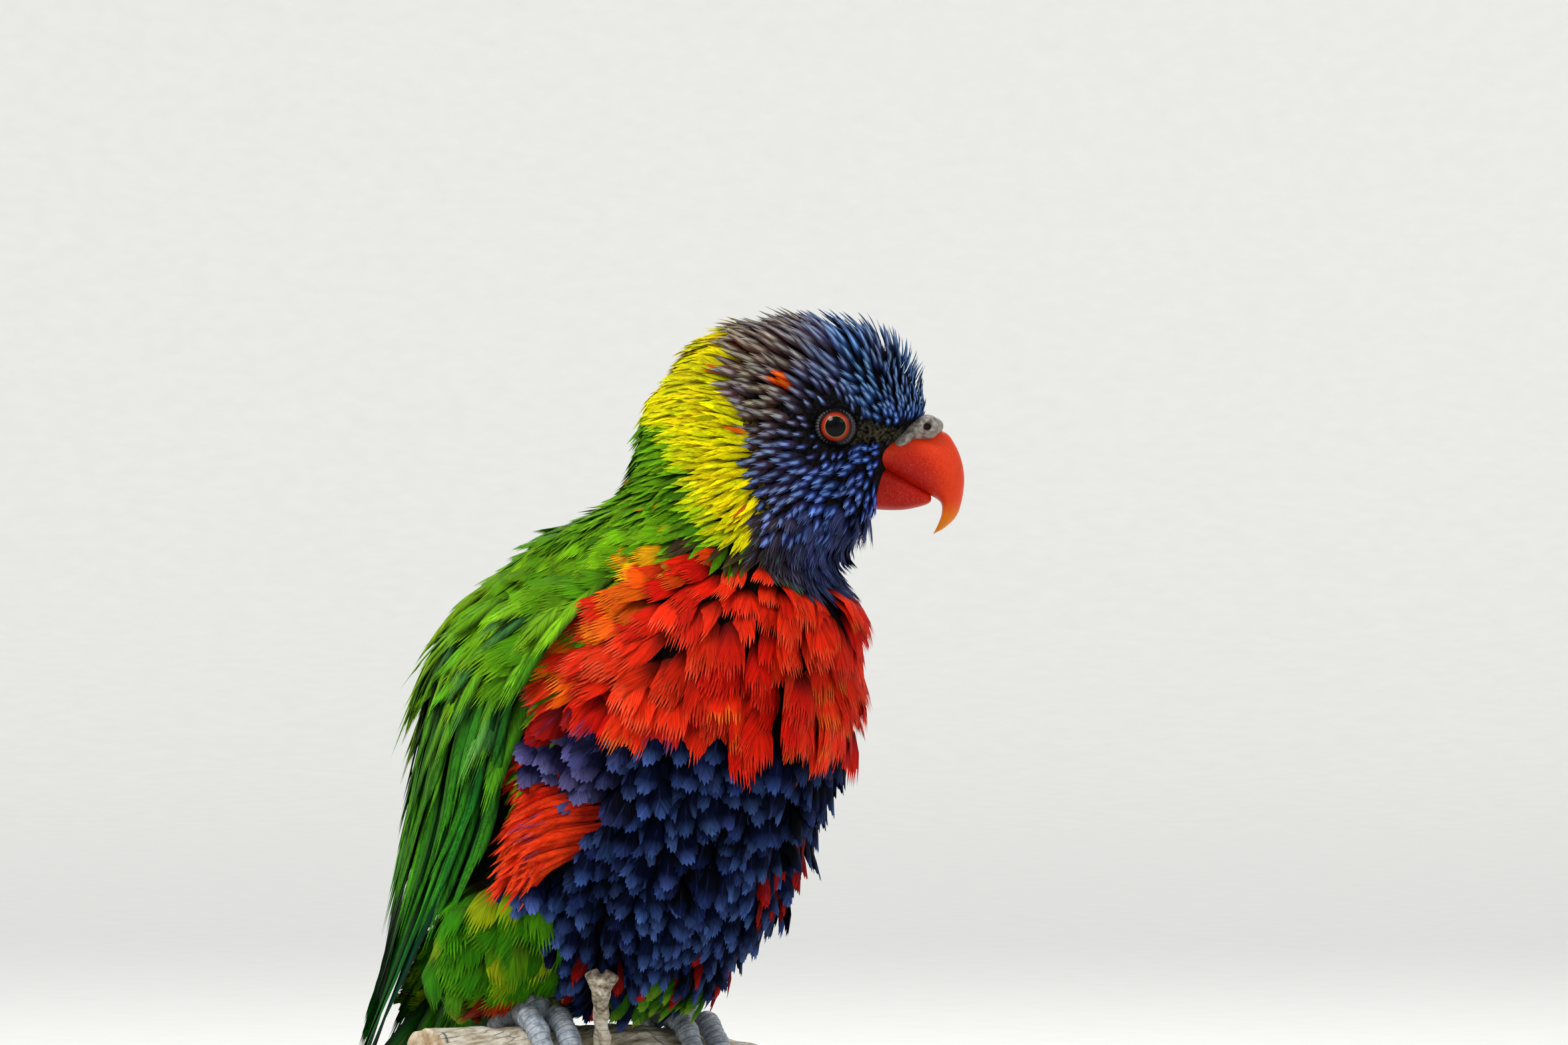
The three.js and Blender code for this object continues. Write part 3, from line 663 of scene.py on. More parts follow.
HEAD_EDGE = (
    (86, 38), (88, 36), (92, 31.5), (96, 30.5), (101, 31.5), (108, 31.5), (116, 32), (122, 29), (129, 27.5),
    (135, 30), (141, 36),
)
COLLAR_EDGE = ((93, 30), (95.7, 28), (101.6, 22.5), (108.6, 18.6), (118.6, 14.5), (124, 9), (141, 3))
MANTLE_EDGE = ((30, 100), (36, 97), (52, 88), (66, 87), (73, 85), (82, 80), (94, 75), (104, 70))


def edge_at(edge: tuple[tuple[float, float], ...], height: Array) -> Array:
    """Looks up a boundary, given as pairs of height and distance or angle."""
    heights, values = zip(*edge)
    return np.interp(height, heights, values)


def breast_line(spots: Spots) -> Array:
    """Gives the height of the breast's lower edge round the body."""
    return mix(65.5, 60.0, smooth(70, 12, spots.round))


def zones(spots: Spots) -> dict[str, Array]:
    """Says how much of each plumage zone lies at each spot.

    Args:
        spots: Places on the skin.

    Returns:
        Shares from 0 to 1 for head, collar, mantle, breast, belly and thigh.
    """
    wander = ripple(spots.points, 5, 11)
    front = smooth(-1.5, 1.5, spots.ahead - edge_at(HEAD_EDGE, spots.height) + wander)
    head = front * smooth(86.5, 88.5, spots.height + 0.7 * wander)
    band = smooth(-2.5, 2.5, spots.ahead - edge_at(COLLAR_EDGE, spots.height) + 2 * wander)
    collar = band * smooth(97, 99.5, spots.height + wander) * (1 - head)
    rest = (1 - head) * (1 - collar)
    back = smooth(-3, 3, spots.round - edge_at(MANTLE_EDGE, spots.height) + 2 * wander)
    mantle = np.maximum(back, smooth(93, 95, spots.height + wander)) * rest
    above = smooth(-1.5, 1.5, spots.height - breast_line(spots) - 2.2 * wander)
    breast = above * (1 - mantle) * rest
    thigh = smooth(70, 80, spots.round + 3 * wander) * smooth(33, 27, spots.height) * (1 - breast)
    belly = np.clip(1 - head - collar - mantle - breast - thigh, 0, 1)
    upper = {"head": head, "collar": collar, "mantle": mantle, "breast": breast}
    return upper | {"belly": belly, "thigh": thigh}


# Tints of the down under each zone, darkened as painted shade for the gaps between feathers.
DOWN_AND_GAP_SHADE_TINTS = {
    "head": paint("#1a171c"),
    "collar": paint("#6a6408"),
    "mantle": paint("#142208"),
    "breast": paint("#190302"),
    "belly": paint("#05060b"),
    "thigh": paint("#24200a"),
}
LORES = paint("#4a4634")


def lores(spots: Spots) -> Array:
    """Marks the nearly bare strip between the eye and the cere, from 0 to 1."""
    along = np.clip((spots.ahead - EYE_AHEAD) / 14.0, 0, 1)
    middle = mix(EYE_HEIGHT - 0.6, EYE_HEIGHT - 2.0, along)
    inside = smooth(1.15, 0.7, np.abs(spots.height - middle) / mix(3.0, 1.5, along))
    return inside * smooth(42, 44.5, spots.ahead) * smooth(60.5, 58.5, spots.ahead)


@dataclass
class Skin:
    """The bare form under the feathers, which the coat is laid on."""

    cell: float = 1.4
    thigh_top: tuple[float, float, float] = (2, 21, 38)
    thigh_bottom: tuple[float, float, float] = (-17, 20, 3)
    thigh_size: tuple[float, float, float] = (17, 12.5, 3)
    rump: tuple[float, float, float] = (-42, 0, 12)
    rump_size: tuple[float, float, float] = (18, 9.5, 5.5)
    head_depth: float = 1.3
    crown_depth: float = 3.2
    body_depth: float = 2.8
    neck: tuple[float, float] = (88, 108)
    crown: tuple[float, float] = (122, 132)
    dish_side: float = 22.2
    dish: float = 9.4
    tries_per_root: int = 7

    def build(self) -> "Skin":
        """Makes the skin and readies it for finding places on it."""
        forms = [self.trunk(), self.thigh(1), self.thigh(-1), self.tail_root()]
        self.piece = fused("skin", forms, self.cell)
        self.sink()
        self.vertices, self.normals = coordinates(self.piece), vertex_normals(self.piece)
        self.piece.data.calc_loop_triangles()
        self.faces = np.array([tuple(t.vertices) for t in self.piece.data.loop_triangles])
        self.tree = BVHTree.FromPolygons(self.vertices.tolist(), self.faces.tolist())
        return self

    def trunk(self) -> Piece:
        """Makes the head, neck and body as one form, its levels closer together towards both ends."""
        low, high = BODY.stations[0][0], BODY.stations[-1][0]

        def place(degrees: Array, share: Array) -> Array:
            """Finds the trunk's points."""
            closer = 0.5 - 0.5 * np.cos(math.pi * share)
            return BODY.points(mix(low, high, mix(share, closer, 0.6)), degrees)

        return moulded("trunk", 72, 90, place)

    def thigh(self, side: int) -> Piece:
        """Makes one feathered thigh, 1 for the left and -1 for the right."""
        flip = np.array([1, side, 1])
        top, bottom = np.array(self.thigh_top) * flip, np.array(self.thigh_bottom) * flip

        def place(degrees: Array, share: Array) -> Array:
            """Sweeps a level ellipse from the flank to the heel."""
            points = ball(degrees, share)
            along = column(0.5 - 0.5 * points[:, 2])
            return mix(top, bottom, along) + points * (1 - 0.1 * along) * self.thigh_size + PERCH_TOP * UP

        return moulded("thigh", 40, 32, place)

    def tail_root(self) -> Piece:
        """Makes the short root of the tail, an egg laid along it."""

        def place(degrees: Array, share: Array) -> Array:
            """Lays the egg."""
            points = ball(degrees, share) * (self.rump_size[1], self.rump_size[2], self.rump_size[0])
            across = column(points[:, 0]) * np.array([0, 1, 0]) + column(points[:, 1]) * TAIL_BACK
            return np.array(self.rump) + PERCH_TOP * UP + across - column(points[:, 2]) * TAIL_ALONG

        return moulded("rump", 28, 24, place)

    def sink(self) -> None:
        """Draws the skin in by the depth of the coat and dishes it round the eyes."""
        points = coordinates(self.piece)
        level = points[:, 2] - PERCH_TOP
        depth = mix(self.body_depth, self.head_depth, smooth(*self.neck, level))
        depth = mix(depth, self.crown_depth, smooth(*self.crown, level))
        points -= vertex_normals(self.piece) * column(depth)
        ahead, left, height = head_coords(points)
        away = (ahead - EYE_AHEAD) ** 2 + (height - EYE_HEIGHT) ** 2
        limit = self.dish_side - np.sqrt(np.clip(self.dish**2 - away, 0, None))
        left = np.where(away < self.dish**2, np.clip(left, -limit, limit), left)
        set_coordinates(self.piece, head_point(ahead, left, height))

    def nearest(self, points: Array) -> tuple[Array, Array]:
        """Finds the nearest places on the skin.

        Args:
            points: Points in millimetres.

        Returns:
            The places and their smooth outward normals.
        """
        found = [self.tree.find_nearest(p) for p in points.tolist()]
        spots = np.array([f[0] for f in found])
        corner = self.faces[[f[2] for f in found]]
        a, b, c = (self.vertices[corner[:, k]] for k in range(3))
        pairs = ((b, c), (c, a), (a, b))
        areas = [np.linalg.norm(np.cross(p - spots, q - spots), axis=1) for p, q in pairs]
        return spots, unit(sum(column(s) * self.normals[corner[:, k]] for k, s in enumerate(areas)))

    def scatter(self, spacing: Callable[[Spots], Array], seed: int) -> Spots:
        """Sets roots over the skin, evenly and at the distance asked for at each place.

        Args:
            spacing: Gives the distance between roots at each spot, or 0 for none.
            seed: Picks the places.

        Returns:
            The roots.
        """
        rng = np.random.default_rng(seed)
        a, b, c = (self.vertices[self.faces[:, k]] for k in range(3))
        across = np.cross(b - a, c - a)
        gap = spacing(Spots((a + b + c) / 3, unit(across)))
        weight = np.where(gap > 0, np.linalg.norm(across, axis=1) / 2 / np.maximum(gap, 0.1) ** 2, 0)
        tries = int(weight.sum() * self.tries_per_root)
        pick = rng.choice(len(weight), tries, p=weight / weight.sum())
        r, s = np.sqrt(rng.random(tries)), rng.random(tries)
        places = column(1 - r) * a[pick] + column(r * (1 - s)) * b[pick] + column(r * s) * c[pick]
        tree = KDTree(tries)
        for i, place in enumerate(places.tolist()):
            tree.insert(place, i)
        tree.balance()
        free = np.ones(tries, bool)
        kept = []
        for i in range(tries):
            if free[i]:
                kept.append(i)
                for _, j, _ in tree.find_range(places[i], gap[pick[i]]):
                    free[j] = False
        return Spots(*self.nearest(places[kept]))

    def walk(self, roots: Spots, lie: Callable, lengths: Array, stages: Array) -> tuple:
        """Follows the skin from each root the way its feather lies.

        Args:
            roots: Where the feathers start.
            lie: Gives the direction of the lie at spots.
            lengths: Length of each feather.
            stages: Shares of the length to stop at.

        Returns:
            Points, normals and sideways directions, by feather and stage.
        """
        points, normals, heading = roots.points, roots.normals, lie(roots)
        rows = []
        for k, stage in enumerate(stages):
            if k:
                step = column((stage - stages[k - 1]) * lengths)
                points, normals = self.nearest(points + heading * step)
                heading = mix(heading, lie(Spots(points, normals)), 0.5)
            heading = unit(heading - normals * column(dot(heading, normals)))
            rows.append((points, normals, np.cross(heading, normals)))
        return tuple(np.stack(parts, 1) for parts in zip(*rows))

    def dress(self) -> None:
        """Colours the skin after the plumage over it, darkened as painted shade for the gaps between
        feathers, and hides the solids of flesh.
        """
        spots = Spots(self.vertices, self.normals)
        tint = sum(column(share) * DOWN_AND_GAP_SHADE_TINTS[name] for name, share in zones(spots).items())
        tint = mix(tint, LORES, column(lores(spots)))
        set_colours(self.piece, "Coat", np.append(tint, np.ones((len(tint), 1)), 1))
        self.piece.data.materials.append(DownWithPaintedShadeFinish("down").material())
        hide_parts("head", "neck", "breast", "belly", "leg_left", "leg_right")
        fit(self.piece, "plumage_breast")


# Plumage over the skin

TAIL_LEAN = math.radians(33)
TAIL_ALONG = np.array([-math.sin(TAIL_LEAN), 0, -math.cos(TAIL_LEAN)])
TAIL_BACK = np.array([-math.cos(TAIL_LEAN), 0, math.sin(TAIL_LEAN)])
BILL_ROOT = head_point(60.0, 0.0, 114.0)
PARTINGS = (
    (11, 75.5, 1.8, 1.0), (28, 88, 1.0, 1.1), (29.3, 73.5, 0.4, 1.6), (35.4, 70, 0.7, 2.8),
    (40, 72.5, 0.4, 1.9), (34, 59, 0.2, 2.8), (24, 58, 0.1, 1.6), (14, 57, 0.1, 1.6),
)
PARTING_PER_WIDTH = 0.2


def head_lie(spots: Spots) -> Array:
    """Feathers of the head lie away from the bill and part round the eyes."""
    heading = unit(spots.points - BILL_ROOT)
    for side in (1, -1):
        away = spots.points - head_point(EYE_AHEAD, side * (EYE_SIDE + 3), EYE_HEIGHT)
        reach = np.linalg.norm(away, axis=-1)
        heading = heading + unit(away) * column(0.9 * smooth(9.5, 4.5, reach))
    droop = smooth(112, 96, spots.height) * 0.55 * smooth(20, 38, spots.ahead)
    return unit(heading - column(droop) * UP)


def body_lie(spots: Spots) -> Array:
    """Feathers of the body hang down and sweep back over the breast's sides, the back and the vent."""
    sweep = 1.55 * smooth(18, 84, spots.round) * mix(0.3, 1, smooth(44, 84, spots.height))
    sweep = mix(sweep, 0.5, smooth(95, 125, spots.round)) + 1.2 * smooth(14, 4, spots.height)
    parting = 0.16 * np.sign(spots.turn) * smooth(30, 0, spots.round)
    return unit(np.stack([-0.08 - sweep, parting, -np.ones_like(sweep)], -1))


def whole_lie(spots: Spots) -> Array:
    """Joins the lie of the head and of the body over the neck."""
    return unit(mix(body_lie(spots), head_lie(spots), column(smooth(90, 104, spots.height))))


class Unwrap(Enum):
    """Ways of laying the skin flat."""

    HEAD = "two discs, one for each side of the head"
    BODY = "a cylinder round the trunk"

    def place(self, spots: Spots) -> Array:
        """Gives each spot's place on the flat unwrap, between 0 and 1."""
        if self is Unwrap.BODY:
            return np.stack([0.01 + 0.98 * (spots.turn + 180) / 360, 0.02 + 0.96 * spots.height / 141], -1)
        away = unit(spots.points - head_point(36.0, 0.0, 112.0))
        side = np.where(spots.left >= 0, 1.0, -1.0)
        polar = np.arccos(np.clip(side * (away @ HEAD_LEFT), -1, 1)) / (math.pi / 2)
        flat = unit(np.stack([away @ AHEAD, away[:, 2]], -1))
        return np.stack([0.5 + side * 0.245, np.full(spots.count, 0.5)], -1) + flat * column(polar * 0.235)


@dataclass
class Tract:
    """One field of feathers. Each kind says where they grow, how large they are and their colours."""

    name: str
    slot: str
    shape: VaneShape
    seed: int
    unwrap: Unwrap = Unwrap.BODY
    root_lift: float = -0.4
    tip_lift: float = 2.8
    unruly: float = 8.0
    roll: float = 10.0

    def spacing(self, spots: Spots) -> Array:
        """Distance between roots at each spot, or 0 where none grow."""
        raise NotImplementedError

    def sizes(self, spots: Spots) -> tuple[Array, Array]:
        """Length and width of the feather at each spot."""
        raise NotImplementedError

    def tints(self, spots: Spots, rng: Rng) -> Tints:
        """Colours of the feather at each spot."""
        raise NotImplementedError

    def lift(self, spots: Spots) -> Array:
        """Height of each feather's tip over the skin."""
        return self.tip_lift * (1 + 0.3 * ripple(spots.points, 4.5, self.seed + 1))

    def lie(self, spots: Spots) -> Array:
        """Direction of the feathers."""
        return whole_lie(spots)

    def open_partings(self, quills: Quills) -> Array:
        """Marks the feathers that leave the coat's dark partings open."""
        later, earlier = quills.points[:, 1:], quills.points[:, :-1]
        ahead, _, height = head_coords(np.concatenate([later, (later + earlier) / 2], 1))
        keep = np.ones(len(quills.lengths), bool)
        for at, level, reach, rise in PARTINGS:
            wide = reach + PARTING_PER_WIDTH * quills.widths[:, None]
            keep &= (np.hypot((ahead - at) / wide, (height - level) / rise) > 1).all(1)
        return keep

    def build(self, skin: Skin) -> Piece:
        """Grows the whole field.

        Args:
            skin: Skin to grow it on.

        Returns:
            The new piece.
        """
        rng = np.random.default_rng(self.seed)
        roots = skin.scatter(self.spacing, self.seed)
        lengths, widths = self.sizes(roots)
        lengths = lengths * rng.uniform(0.85, 1.15, roots.count)
        widths = widths * rng.uniform(0.88, 1.12, roots.count)
        stray = rng.normal(0, self.unruly, roots.count) + 7 * ripple(roots.points, 5, self.seed + 3)
        cos, sin = column(np.cos(np.radians(stray))), column(np.sin(np.radians(stray)))

        def wayward(spots: Spots) -> Array:
            """Turns the lie a little aside for each feather."""
            heading = self.lie(spots)
            return heading * cos + np.cross(spots.normals, heading) * sin

        stages = self.shape.stages
        points, normals, sides = skin.walk(roots, wayward, lengths, stages)
        tips = self.lift(roots) * (1 + 0.16 * rng.normal(size=roots.count))
        rise = mix(self.root_lift, column(tips), stages[None] ** 0.8)
        quills = Quills(points + normals * rise[..., None], normals, sides, lengths, widths)
        quills = quills.rolled(rng.normal(0, self.roll, roots.count))
        keep = self.open_partings(quills)
        quills = Quills(*(part[keep] for part in vars(quills).values()))
        roots = Spots(roots.points[keep], roots.normals[keep])
        bed = FeatherBed(self.unwrap.place(roots))
        piece = feather_mesh(self.name, self.shape, quills, self.tints(roots, rng), bed, self.seed)
        return fit(piece, self.slot)


def patches(spots: Spots, rng: Rng, size: float, seed: int, level: float = 0.5) -> Array:
    """Gives shares from 0 to 1 that wander over the skin and stray from feather to feather."""
    wander = level + 0.38 * ripple(spots.points, size, seed)
    return column(np.clip(wander + rng.normal(0, 0.18, spots.count), 0, 1))


def some(rng: Rng, chance: Array) -> Array:
    """Picks feathers by a chance for each, as 0 or 1."""
    return column(rng.random(len(chance)) < chance)


def gold_spot(spots: Spots) -> Array:
    """Marks the golden spot on each shoulder, where the mantle meets the breast."""
    return np.hypot((spots.round - 83) / 7, (spots.height - 93) / 3.4) < 1


def flank_clump(spots: Spots, wider: float = 0.0) -> Array:
    """Marks the roots of the flank's red tuft, or a wider field round them."""
    return np.hypot((spots.round - 74) / (17 + wider), (spots.height - 42) / (6.5 + wider)) < 1


class HeadTract(Tract):
    """Narrow pointed feathers with a pale shaft, from the forehead to the hind crown and the cheeks."""

    def spacing(self, spots: Spots) -> Array:
        """Closest by the bill, with none on the lids, the lores or under the bill."""
        gap = mix(1.5, 0.85, smooth(14, 0, 61 - spots.ahead))
        level = (spots.height > 101) & (spots.height < 119.5)
        bill = (spots.ahead > 54) & (np.abs(spots.left) < 6.6) & level
        grows = (zones(spots)["head"] > 0.5) & (spots.from_eye > 3.9) & ~bill & (spots.height > 98)
        return np.where(grows & (lores(spots) < 0.75), gap, 0)

    def sizes(self, spots: Spots) -> tuple[Array, Array]:
        """Short by the bill and the eye, long on the crown."""
        crown = smooth(122, 137, spots.height) * smooth(64, 52, spots.ahead)
        near_bill = smooth(15, 1, 62 - spots.ahead)
        length = mix(5.6 + 4.2 * crown, 3.0, near_bill)
        width = mix(2.0, 1.2, near_bill)
        small = mix(0.55, 1.0, smooth(4.5, 9, spots.from_eye))
        return length * small * (1 - 0.55 * smooth(0.1, 0.6, lores(spots))), width * small

    def lift(self, spots: Spots) -> Array:
        """Raised on the crown, close by the eye and the bill."""
        crown = smooth(119, 131, spots.height) * mix(0.7, 1.0, smooth(20, 46, spots.ahead))
        by_bill = smooth(7, 1, 62 - spots.ahead) * smooth(126, 120, spots.height)
        return mix(1.5 + 3.3 * crown, 0.9, np.maximum(by_bill, smooth(7, 4, spots.from_eye)))

    def lie(self, spots: Spots) -> Array:
        """Away from the bill."""
        return head_lie(spots)

    def tints(self, spots: Spots, rng: Rng) -> Tints:
        """Blue over charcoal in front, brown with grey-green shafts behind, brighter blue by the bill."""
        rear = smooth(51, 30, spots.ahead + 0.35 * (118 - spots.height)) + 0.15 * ripple(spots.points, 3, 5)
        rear = column(np.clip(rear, 0, 1))
        royal = column(smooth(14, 3, 62 - spots.ahead) * smooth(122, 116, spots.height))
        brow = column(smooth(116, 124, spots.height)) * (1 - rear)
        dark = mix(paint("#14151f"), paint("#38231e"), rear)
        high = column(smooth(113, 125, spots.height))
        rear_web = mix(paint("#33262a"), paint("#5c423a"), high)
        rear_shaft = mix(paint("#8298bc"), paint("#b0ac94"), high)
        web = mix(mix(paint("#26387a"), paint("#2e5490"), brow), rear_web, rear)
        web = mix(web, paint("#2145b0"), royal)
        shaft = mix(mix(paint("#6f93dc"), paint("#8ab4e2"), brow), rear_shaft, rear)
        shaft = mix(shaft, paint("#76a6fa"), royal)
        patch = column(spots.near(38.5, 126.5, 2.6, 1.3) & (spots.left < 0))
        web, shaft = mix(web, paint("#d03008"), patch), mix(shaft, paint("#ff8a1c"), patch)
        bare = column(lores(spots))
        web, shaft = mix(web, paint("#201c16"), bare), mix(shaft, paint("#454234"), bare)
        strength = rng.uniform(0.6, 1, spots.count) * (1 - 0.15 * rear[:, 0])
        return strayed(rng, spots.count, dark, web, mix(web, shaft, 0.4), shaft, strength)


class BeardTract(Tract):
    """Longer, finely barbed slate-blue feathers of the lower cheek, hanging over the breast."""

    def spacing(self, spots: Spots) -> Array:
        """Even over the lower cheek and the chin."""
        return np.where((zones(spots)["head"] > 0.5) & (spots.height < 103) & (spots.height > 89), 1.75, 0)

    def sizes(self, spots: Spots) -> tuple[Array, Array]:
        """Longer and broader downwards."""
        low = smooth(103, 91, spots.height)
        return mix(7.0, 8.6, low), mix(2.4, 4.2, low)

    def lift(self, spots: Spots) -> Array:
        """Fuller under the chin than behind."""
        chin = smooth(44, 52, spots.ahead)
        return (self.tip_lift + 2.8 * chin) * (1 + 0.3 * ripple(spots.points, 4.5, self.seed + 1))

    def tints(self, spots: Spots, rng: Rng) -> Tints:
        """Slate blue, browner behind, with dark and green tips by the collar."""
        rear = column(smooth(44, 33, spots.ahead))
        web = mix(paint("#2e3660"), paint("#332a2c"), rear)
        tip = mix(paint("#566494"), paint("#57504e"), rear)
        green = some(rng, 0.75 * smooth(97, 91, spots.height) * smooth(42, 34, spots.ahead))
        tip = mix(tip, paint("#4f7a14"), green)
        return strayed(rng, spots.count, paint("#0b0b12"), web, tip, paint("#7080ae"), 0.35, 0.75)


class CollarTract(Tract):
    """Fine, hairy yellow feathers of the nape and collar."""

    def spacing(self, spots: Spots) -> Array:
        """Close all over the collar."""
        return np.where(zones(spots)["collar"] > 0.5, 0.8, 0)

    def sizes(self, spots: Spots) -> tuple[Array, Array]:
        """Long and narrow."""
        return np.full(spots.count, 7.4), np.full(spots.count, 1.15)

    def lift(self, spots: Spots) -> Array:
        """Standing out in tufts, most at the top behind the crown."""
        tuft = 1 + 0.3 * ripple(spots.points, 3.2, 15)
        return (1.8 + 1.0 * smooth(130, 137, spots.height)) * tuft

    def tints(self, spots: Spots, rng: Rng) -> Tints:
        """Vivid yellow, greener towards the back, flecked orange by the brown of the head."""
        outer = spots.ahead - edge_at(COLLAR_EDGE, spots.height)
        inner = spots.ahead - edge_at(HEAD_EDGE, spots.height)
        green = column(np.clip(smooth(5, -1, outer) + rng.normal(0, 0.16, spots.count), 0, 1))
        shade = patches(spots, rng, 4, 19, 0.65)
        web = mix(mix(paint("#c4b804"), paint("#f6e804"), shade), paint("#86c00c"), green)
        fleck = some(rng, 0.35 * smooth(-3, -0.5, inner) * (0.5 + 0.5 * ripple(spots.points, 3, 14)))
        web = mix(web, paint("#c4560c"), fleck)
        root = mix(paint("#a49406"), paint("#4c7a06"), green)
        return strayed(rng, spots.count, root, web, web * 1.1)


class NapeTract(CollarTract):
    """Fine green feathers of the hind neck."""

    def spacing(self, spots: Spots) -> Array:
        """Close over the hind neck."""
        return np.where((zones(spots)["mantle"] > 0.5) & (spots.height > 92), 1.15, 0)

    def sizes(self, spots: Spots) -> tuple[Array, Array]:
        """Long and narrow, broader towards the back."""
        low = smooth(112, 94, spots.height)
        return mix(8.0, 10.0, low), mix(1.4, 2.1, low)

    def tints(self, spots: Spots, rng: Rng) -> Tints:
        """Grass green with yellow-green tips, painted shade between them from the dark roots, and a few
        orange flecks.
        """
        light = patches(spots, rng, 5, 8)
        web = mix(paint("#3a6c06"), paint("#66a20a"), light)
        tip = mix(paint("#4e8408"), paint("#8ec014"), light)
        tip = mix(tip, paint("#d8700c"), some(rng, np.full(spots.count, 0.03)))
        dusk = some(rng, 0.5 * smooth(14, 24, spots.ahead) * smooth(104, 97, spots.height))
        web, tip = mix(web, paint("#3c2c1c"), dusk), mix(tip, paint("#5a5620"), dusk)
        # The dark root is partly the feathers' own base and partly painted shade between them.
        return strayed(rng, spots.count, paint("#203a04"), web, tip)


class MantleTract(Tract):
    """Broad soft green feathers of the upper back and shoulders."""

    def spacing(self, spots: Spots) -> Array:
        """Even, with none under the wings."""
        covered = (spots.height < 74) & (spots.round < 166)
        covered |= (spots.height > 91) & (spots.ahead > 16)
        return np.where((zones(spots)["mantle"] > 0.5) & ~covered & (spots.height < 99), 2.9, 0)

    def sizes(self, spots: Spots) -> tuple[Array, Array]:
        """Longer and broader down the back."""
        low = smooth(99, 80, spots.height)
        return mix(9.0, 15.0, low), mix(4.5, 8.0, low)

    def lift(self, spots: Spots) -> Array:
        """Over the roots of the wing's feathers by the shoulder."""
        shoulder = smooth(96, 86, spots.height) * smooth(72, 92, spots.round)
        shoulder = shoulder * smooth(178, 150, spots.round)
        return (2.9 + 3.6 * shoulder) * (1 + 0.18 * ripple(spots.points, 5, 31))

    def tints(self, spots: Spots, rng: Rng) -> Tints:
        """Green with lighter tips, orange flecks and one orange-yellow spot on each shoulder."""
        light = patches(spots, rng, 6, 9)
        web = mix(paint("#448006"), paint("#72b008"), light)
        tip = mix(paint("#62980e"), paint("#a2cc20"), light)
        gold = column(gold_spot(spots))
        web, tip = mix(web, paint("#f0a008"), gold), mix(tip, paint("#fcc00c"), gold)
        tip = mix(tip, paint("#d87410"), some(rng, np.full(spots.count, 0.03)))
        return strayed(rng, spots.count, paint("#1b3205"), web, tip)


class BreastTract(Tract):
    """Broad, square-ended red feathers of the breast, fluffed in bundles with dark gaps between."""

    def spacing(self, spots: Spots) -> Array:
        """Wide apart."""
        return np.where(zones(spots)["breast"] > 0.45, 2.45, 0)

    def sizes(self, spots: Spots) -> tuple[Array, Array]:
        """Larger in the middle of the breast than by the throat."""
        low = smooth(95, 80, spots.height)
        return mix(8.5, 12.5, low), mix(4.4, 6.6, low)

    def lift(self, spots: Spots) -> Array:
        """In loose bundles."""
        return self.tip_lift * (1 + 0.42 * ripple(spots.points, 4.5, self.seed + 1))

    def tints(self, spots: Spots, rng: Rng) -> Tints:
        """Red, gold by the shoulder and in fringes low down, with slate-blue tips at the lower edge."""
        wander = ripple(spots.points, 7, 3)
        warm = patches(spots, rng, 8, 21, 0.4)
        web = mix(paint("#c40e04"), paint("#ea300e"), warm)
        tip = mix(paint("#f03018"), paint("#ff6e44"), warm)
        side = smooth(-24, -6, spots.round - edge_at(MANTLE_EDGE, spots.height) + 6 * wander)
        side = column(side * smooth(68, 74, spots.height + 3 * wander))
        shoulder = side * patches(spots, rng, 3.5, 22, 0.36)
        web, tip = mix(web, paint("#f07c06"), shoulder), mix(tip, paint("#fca408"), shoulder)
        gold = column(gold_spot(spots))
        web, tip = mix(web, paint("#f0a008"), gold), mix(tip, paint("#fcc00c"), gold)
        fringe = some(rng, 0.22 * smooth(80, 68, spots.height) + 0.25 * smooth(20, 0, spots.round))
        tip = mix(tip, paint("#f2a02a"), fringe * 0.6)
        height = spots.height - breast_line(spots)
        dusk = some(rng, 0.5 * smooth(4.5, 1.0, height + 1.5 * wander) * smooth(5, 30, spots.round))
        tip = mix(tip, paint("#3d4270"), dusk)
        # The near-black root is partly the feathers' dark base and partly painted shade in the gaps between
        # them.
        return strayed(rng, spots.count, paint("#250302"), web, tip, paint("#8c1408"), 0.3, 0.7)


